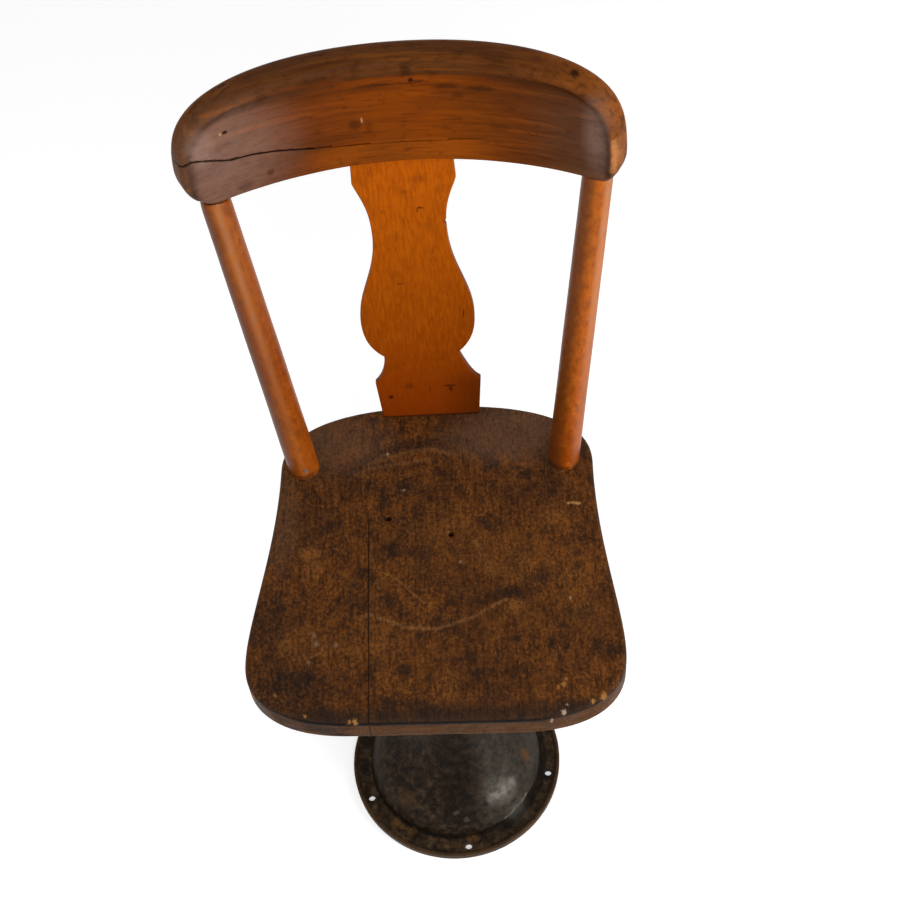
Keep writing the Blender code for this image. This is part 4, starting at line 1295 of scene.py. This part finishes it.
def seat_finish():
    wood = Finish("seat_wood_worn", 0.5, 0.04)
    near = wood.moved(wood.place, Matrix.Translation(AXIS + Vector((0, 0, SEAT_TOP))))
    board = wood.moved(near, Matrix.Rotation(SEAT_JOINT_TURN, 4, "Z"))
    x, y, height = wood.split(near)
    grain = wood.clouds(board, 240, 5, 0.68, (1.0, 0.15, 0.4))
    flecks = wood.clouds(board, 340, 4, 0.65, (1.0, 0.14, 0.4), (1, 6, 2))
    blots = wood.clouds(near, 115, 5, 0.7, (1, 0.65, 1), (2, 8, 6))
    speckle = wood.clouds(near, 300, 6, 0.75, (1, 0.8, 1), (2, 4, 1))
    patches = wood.clouds(near, 42, 7, 0.74, (1, 0.8, 1), (8, 3, 5))
    broad = wood.clouds(near, 11, 3, 0.5, (1, 1, 1), (3, 9, 2))
    colour = wood.ramp(speckle, (
        (0.34, (0.032, 0.011, 0.003)),
        (0.45, (0.082, 0.0275, 0.006)),
        (0.55, (0.142, 0.047, 0.01)),
        (0.68, (0.24, 0.085, 0.019)),
    ))
    colour = wood.layers(colour, (
        (grain, 0.46, 0.64, 0.55, (0.03, 0.011, 0.004)),
        (grain, 0.46, 0.34, 0.35, (0.15, 0.056, 0.013)),
        (patches, 0.5, 0.62, 0.78, (0.018, 0.0095, 0.006)),
        (patches, 0.46, 0.34, 0.5, (0.23, 0.076, 0.014)),
        (blots, 0.53, 0.66, 0.65, (0.019, 0.009, 0.005)),
        (blots, 0.44, 0.34, 0.4, (0.19, 0.07, 0.015)),
        (broad, 0.4, 0.65, 0.3, (0.03, 0.013, 0.006)),
    ))

    # Dark patches, pale wear and painted sheen on the top
    smudges = wood.warped(near, 90, 0.014, 5)
    ragged = wood.warped(near, 260, 0.0045, 4)
    dark, light = [
        [((mx, my, 0), (rx, ry, 0.05), strength) for mx, my, rx, ry, strength in marks]
        for marks in (SEAT_DARK, SEAT_LIGHT)
    ]
    broken = wood.between(speckle, 0.36, 0.56, 1.0, 0.45)
    colour = wood.blend(wood.times(wood.spots(smudges, dark, 0.6), broken), colour, SEAT_DIRT)
    worn = wood.between(speckle, 0.4, 0.58, 0.3, 1.0)
    light = wood.times(wood.spots(smudges, light, 0.7), worn)
    colour = wood.blend(light, colour, (0.26, 0.095, 0.02))
    ring = wood.times(wood.strokes(ragged, SEAT_RING, 0.012, 0.95), broken)
    colour = wood.blend(ring, colour, SEAT_DIRT)
    patchy = wood.between(speckle, 0.36, 0.56, 0.35, 1.0)
    for points, width, strength in SEAT_SCRATCHES:
        line = [(px, py, 0) for px, py in points]
        scratch = wood.times(wood.strokes(ragged, line, width, strength), patchy)
        colour = wood.blend(scratch, colour, (0.3, 0.135, 0.045))
    dash = wood.strokes(ragged, ((0.144, 0.0955, 0), (0.156, 0.0945, 0)), 0.0026, 0.9)
    colour = wood.blend(dash, colour, (0.42, 0.2, 0.075))
    front = wood.times(wood.between(wood.split(smudges)[1], -0.126, -0.145), 0.72)
    colour = wood.blend(front, colour, (0.017, 0.012, 0.009))
    colour = wood.layers(colour, ((height, -0.0012, -0.004, 0.6, (0.02, 0.0125, 0.0085)),))
    # painted sheen towards the back and the left side
    painted_seat_sheen = wood.spots(smudges, (
        ((-0.11, 0.185, 0), (0.06, 0.035, 0.05), 0.5),
        ((0.09, 0.19, 0), (0.07, 0.035, 0.05), 0.72),
        ((-0.165, 0.09, 0), (0.02, 0.06, 0.05), 0.35),
    ), 0.6)
    painted_seat_sheen = wood.times(painted_seat_sheen, wood.between(speckle, 0.34, 0.6, 0.55, 1.0))
    colour = wood.blend(painted_seat_sheen, colour, (0.145, 0.073, 0.04))

    # The edge, and the painted shadow line over its front
    side = wood.clouds(near, 150, 5, 0.65, (0.25, 0.25, 1), (5, 5, 5))
    facing = wood.ramp(side, (
        (0.34, (0.016, 0.005, 0.0008)),
        (0.5, (0.05, 0.016, 0.0016)),
        (0.66, (0.1, 0.033, 0.0024)),
    ))
    bare = wood.times(wood.between(x, -0.095, -0.07), wood.between(y, -0.1, -0.14), 0.35)
    facing = wood.blend(bare, facing, (0.135, 0.05, 0.01))
    colour = wood.blend(wood.between(height, -0.005, -0.0068), colour, facing)
    # painted shadow: a dark line under the lip of the top's finish
    lip = wood.times(
        wood.between(height, -0.0086, -0.0072),
        wood.between(height, -0.0026, -0.0036),
        wood.between(wood.maths("ABSOLUTE", wood.maths("ADD", x, 0.015)), 0.135, 0.115),
        wood.between(y, -0.12, -0.135),
    )
    colour = wood.blend(lip, colour, (0.005, 0.0035, 0.003))

    # The left joint, flecks and chips
    flat = wood.vectors("MULTIPLY", near, (1, 1, 0))
    joint = wood.strokes(
        flat, ((-0.0684, 0.085, 0), (-0.068, 0, 0), (-0.0665, -0.16, 0)), 0.0013, 0.85
    )
    colour = wood.blend(joint, colour, (0.006, 0.004, 0.003))
    colour = wood.layers(colour, ((flecks, 0.57, 0.68, 0.7, (0.012, 0.006, 0.0035)),))
    flaked = wood.warped(near, 420, 0.006, 3)
    for marks, bare in ((SEAT_CHIPS, (0.36, 0.165, 0.042)), (SEAT_PALE, (0.42, 0.31, 0.22))):
        chips = wood.spots(flaked, [
            ((cx, cy, -low), (size * 0.8, size * 0.9, 0.004), strength)
            for cx, cy, low, size, strength in marks
        ])
        colour = wood.blend(chips, colour, bare)
    relief = wood.maths("ADD", wood.times(speckle, 0.8), patches)
    relief = wood.maths("SUBTRACT", relief, wood.between(grain, 0.46, 0.66, 0.0, 0.8))
    return wood.finish(colour, relief, 0.0006, wood.between(patches, 0.35, 0.65, 0.56, 0.38))


IRON_RUST = (  # place, radius, strength
    ((0.086, -0.019, 0.051), 0.007, 0.7),
    ((-0.0745, -0.0806, 0.0085), 0.005, 0.9),
    ((-0.067, -0.086, 0.0085), 0.004, 0.8),
    ((0.0131, -0.1052, 0.0085), 0.004, 0.7),
    ((0.0215, -0.104, 0.0085), 0.0044, 0.6),
    ((-0.055, -0.093, 0.0085), 0.005, 0.45),
    ((-0.06, -0.07, 0.05), 0.012, 0.25),
)
IRON_SPECKS = (
    ((0.0001, -0.0892, 0.0496), 0.0032, 0.5),
    ((0.0125, -0.0947, 0.0405), 0.0034, 0.45),
    ((0.0553, -0.0255, 0.0762), 0.0022, 0.5),
    ((0.06, -0.04, 0.065), 0.006, 0.3),
    ((-0.048, -0.03, 0.093), 0.0018, 0.5),
)


def iron_finish(name):
    iron = Finish(name, 0.42, 0.05)
    near = iron.moved(iron.place, Matrix.Translation(AXIS))
    x = iron.split(near)[0]
    radius = iron.vectors("LENGTH", iron.vectors("MULTIPLY", near, (1, 1, 0)))
    mottle = iron.clouds(near, 110, 7, 0.74)
    fine = iron.clouds(near, 420, 4, 0.65)
    patches = iron.clouds(near, 36, 6, 0.7, (1, 1, 1), (4, 4, 4))

    # The bell
    colour = iron.ramp(mottle, (
        (0.36, (0.004, 0.0025, 0.0016)),
        (0.47, (0.015, 0.009, 0.005)),
        (0.57, (0.036, 0.0225, 0.013)),
        (0.69, (0.076, 0.05, 0.031)),
    ))
    colour = iron.layers(colour, ((patches, 0.5, 0.68, 0.55, (0.03, 0.016, 0.008)),))
    # painted light: the bell's right side made greyer and lighter
    right = iron.times(
        iron.between(x, 0.01, 0.05),
        iron.between(radius, 0.106, 0.101),
        iron.between(mottle, 0.35, 0.6, 0.25, 0.75),
    )
    colour = iron.blend(right, colour, (0.043, 0.036, 0.029))
    aside = iron.maths("ABSOLUTE", iron.maths("ADD", x, -0.004))
    shade = iron.times(
        iron.between(aside, 0.034, 0.006), iron.between(radius, 0.104, 0.094, 0.0, 0.6)
    )
    colour = iron.blend(shade, colour, (0.004, 0.0026, 0.0018))

    # The flange, its lip and the corner at the bell's foot
    ring = iron.ramp(iron.clouds(near, 80, 7, 0.74, (1, 1, 1), (9, 2, 3)), (
        (0.38, (0.0085, 0.006, 0.004)),
        (0.5, (0.029, 0.018, 0.0105)),
        (0.63, (0.09, 0.052, 0.024)),
    ))
    # painted shade on the flange beside the bell, on its right
    painted_flange_shadow = iron.times(
        iron.between(radius, 0.113, 0.109), iron.between(x, 0.02, 0.07, 0.0, 0.75)
    )
    ring = iron.blend(painted_flange_shadow, ring, (0.006, 0.0058, 0.0052))
    flange = iron.times(iron.between(radius, 0.1025, 0.105), 0.85)
    colour = iron.blend(flange, colour, ring)
    lip = iron.times(
        iron.between(radius, 0.1205, 0.1225, 0.0, 0.75),
        iron.between(mottle, 0.36, 0.58, 0.45, 1.0),
    )
    colour = iron.blend(lip, colour, (0.07, 0.037, 0.017))
    corner = iron.times(
        iron.between(radius, 0.106, 0.104), iron.between(radius, 0.102, 0.103, 0.0, 0.8)
    )
    colour = iron.blend(corner, colour, (0.004, 0.003, 0.0022))

    # Rust, pale specks and a painted highlight on the bell
    ragged = iron.warped(near, 150, 0.01, 5)
    rust, specks = [
        iron.spots(ragged, [(place, (size,) * 3, much) for place, size, much in marks], soft)
        for marks, soft in ((IRON_RUST, 0.6), (IRON_SPECKS, 0.5))
    ]
    colour = iron.blend(rust, colour, (0.105, 0.048, 0.016))
    colour = iron.blend(specks, colour, (0.095, 0.07, 0.05))
    # painted highlight on the bell's right side, with a streak and an arc along its foot
    painted_bell_highlight = iron.spots(ragged, (
        ((0.056, -0.065, 0.054), (0.019, 0.016, 0.014), 0.5),
        ((0.0655, -0.057, 0.052), (0.006, 0.006, 0.005), 0.8),
        ((0.071, -0.072, 0.018), (0.014, 0.014, 0.012), 0.35),
    ), 0.8)
    highlight_streak = iron.strokes(iron.warped(near, 180, 0.006, 4), (
        (0.043, -0.074, 0.054), (0.056, -0.066, 0.053), (0.068, -0.055, 0.053)
    ), 0.01, 0.85)
    foot = iron.strokes(iron.warped(near, 260, 0.003, 3), (
        (0.059, -0.083, 0.018), (0.068, -0.076, 0.02),
        (0.076, -0.069, 0.022), (0.084, -0.058, 0.024),
    ), 0.0045, 0.75)
    painted_bell_highlight = iron.strongest((painted_bell_highlight, highlight_streak, foot))
    painted_bell_highlight = iron.times(painted_bell_highlight, iron.between(mottle, 0.38, 0.62, 0.45, 1.0))
    colour = iron.blend(painted_bell_highlight, colour, (0.2, 0.182, 0.155))
    relief = iron.maths("ADD", iron.times(fine, 0.5), mottle)
    return iron.finish(colour, relief, 0.0007, iron.between(mottle, 0.3, 0.7, 0.34, 0.55))


def steel_finish():
    steel = Finish("steel_dull", 0.5, 0.5, 0.8)
    fine = steel.clouds(steel.place, 600, 4, 0.6)
    colour = steel.ramp(fine, ((0.3, (0.05, 0.035, 0.025)), (0.7, (0.16, 0.13, 0.11))))
    return steel.finish(colour, fine, 0.0002, steel.between(fine, 0.3, 0.7, 0.4, 0.65))


# Scene

AMBIENT = 0.45
FLOOR_SIZE = 12  # from its middle to its sides
FLOOR_GLOW = 0.47  # what the lamps' light lacks of white
LAMP_TARGET = Vector((0, 0.05, 0.5))
LAMPS = (  # name, place from the pedestal's axis, size and watts
    ("lamp_right", (1.9, -0.9, 1.1), 1.1, 31),
    ("lamp_left", (-1.7, -1.1, 1.3), 0.9, 8),
    ("lamp_front", (0.3, -1.5, 2.5), 1.2, 20),
)


def seen_directly(nodes):
    """1 for rays from the camera and for rays that a glossy or clear surface sends on."""
    rays = nodes.node("ShaderNodeLightPath").outputs
    names = ("Is Camera Ray", "Is Glossy Ray", "Is Transmission Ray")
    return nodes.strongest([rays[name] for name in names])


def add_camera():
    data = bpy.data.cameras.new("camera")
    data.lens = CAMERA_LENS
    camera = bpy.data.objects.new("camera", data)
    turn = Matrix.Rotation(-CAMERA_YAW, 4, "Z")
    tilt = Matrix.Rotation(math.pi / 2 - CAMERA_PITCH, 4, "X")
    roll = Matrix.Rotation(CAMERA_ROLL, 4, "Z")
    camera.matrix_world = Matrix.Translation(AXIS + CAMERA_PLACE) @ turn @ tilt @ roll
    bpy.context.scene.collection.objects.link(camera)
    bpy.context.scene.camera = camera


def add_world():
    """Soft light from all round, which is white where the camera sees it."""
    world = bpy.data.worlds.new("studio")
    bpy.context.scene.world = world
    world.use_nodes = True
    nodes = Nodes(world.node_tree)
    strength = nodes.node("ShaderNodeMapRange", {
        "Value": seen_directly(nodes),
        "To Min": AMBIENT,
        "To Max": 1.0,
    })
    background = nodes.tree.nodes["Background"]
    background.inputs["Color"].default_value = (1, 1, 1, 1)
    nodes.feed(background.inputs["Strength"], strength.outputs["Result"])


def add_floor():
    """A plain pale floor, white to the camera but for the chair's soft shadow."""
    made = bmesh.new()
    bmesh.ops.create_grid(made, x_segments=1, y_segments=1, size=FLOOR_SIZE)
    white = Finish("floor_white", 1, 0)
    white.shader.inputs["Base Color"].default_value = (0.8, 0.8, 0.8, 1)
    white.shader.inputs["Emission Color"].default_value = (1, 1, 1, 1)
    glow = white.times(seen_directly(white), FLOOR_GLOW)
    white.feed(white.shader.inputs["Emission Strength"], glow)
    mesh_object("floor", made, white.material)


def add_lamp(name, place, size, power):
    data = bpy.data.lights.new(name, "AREA")
    data.shape = "SQUARE"
    data.size = size
    data.energy = power
    lamp = bpy.data.objects.new(name, data)
    lamp.location = AXIS + Vector(place)
    aim = AXIS + LAMP_TARGET - lamp.location
    lamp.rotation_euler = aim.to_track_quat("-Z", "Y").to_euler()
    bpy.context.scene.collection.objects.link(lamp)


add_camera()
add_world()
add_floor()
for lamp in LAMPS:
    add_lamp(*lamp)

IRON = iron_finish("cast_iron_dark")
STEEL = steel_finish()
make_crest(crest_finish())
make_post("post_turning_left", -1, post_finish("post_wood_left", -1), "post_left")
make_post("post_turning_right", 1, post_finish("post_wood_right", 1), "post_right")
make_splat(splat_finish())
make_seat(seat_finish())
make_pedestal(IRON)
for name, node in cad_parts.items():
    if name == "seat_bracket":
        node.data.materials.clear()
        node.data.materials.append(IRON)
    elif name.startswith("bracket_") or name == "post_nail":
        node.data.materials.clear()
        node.data.materials.append(STEEL)
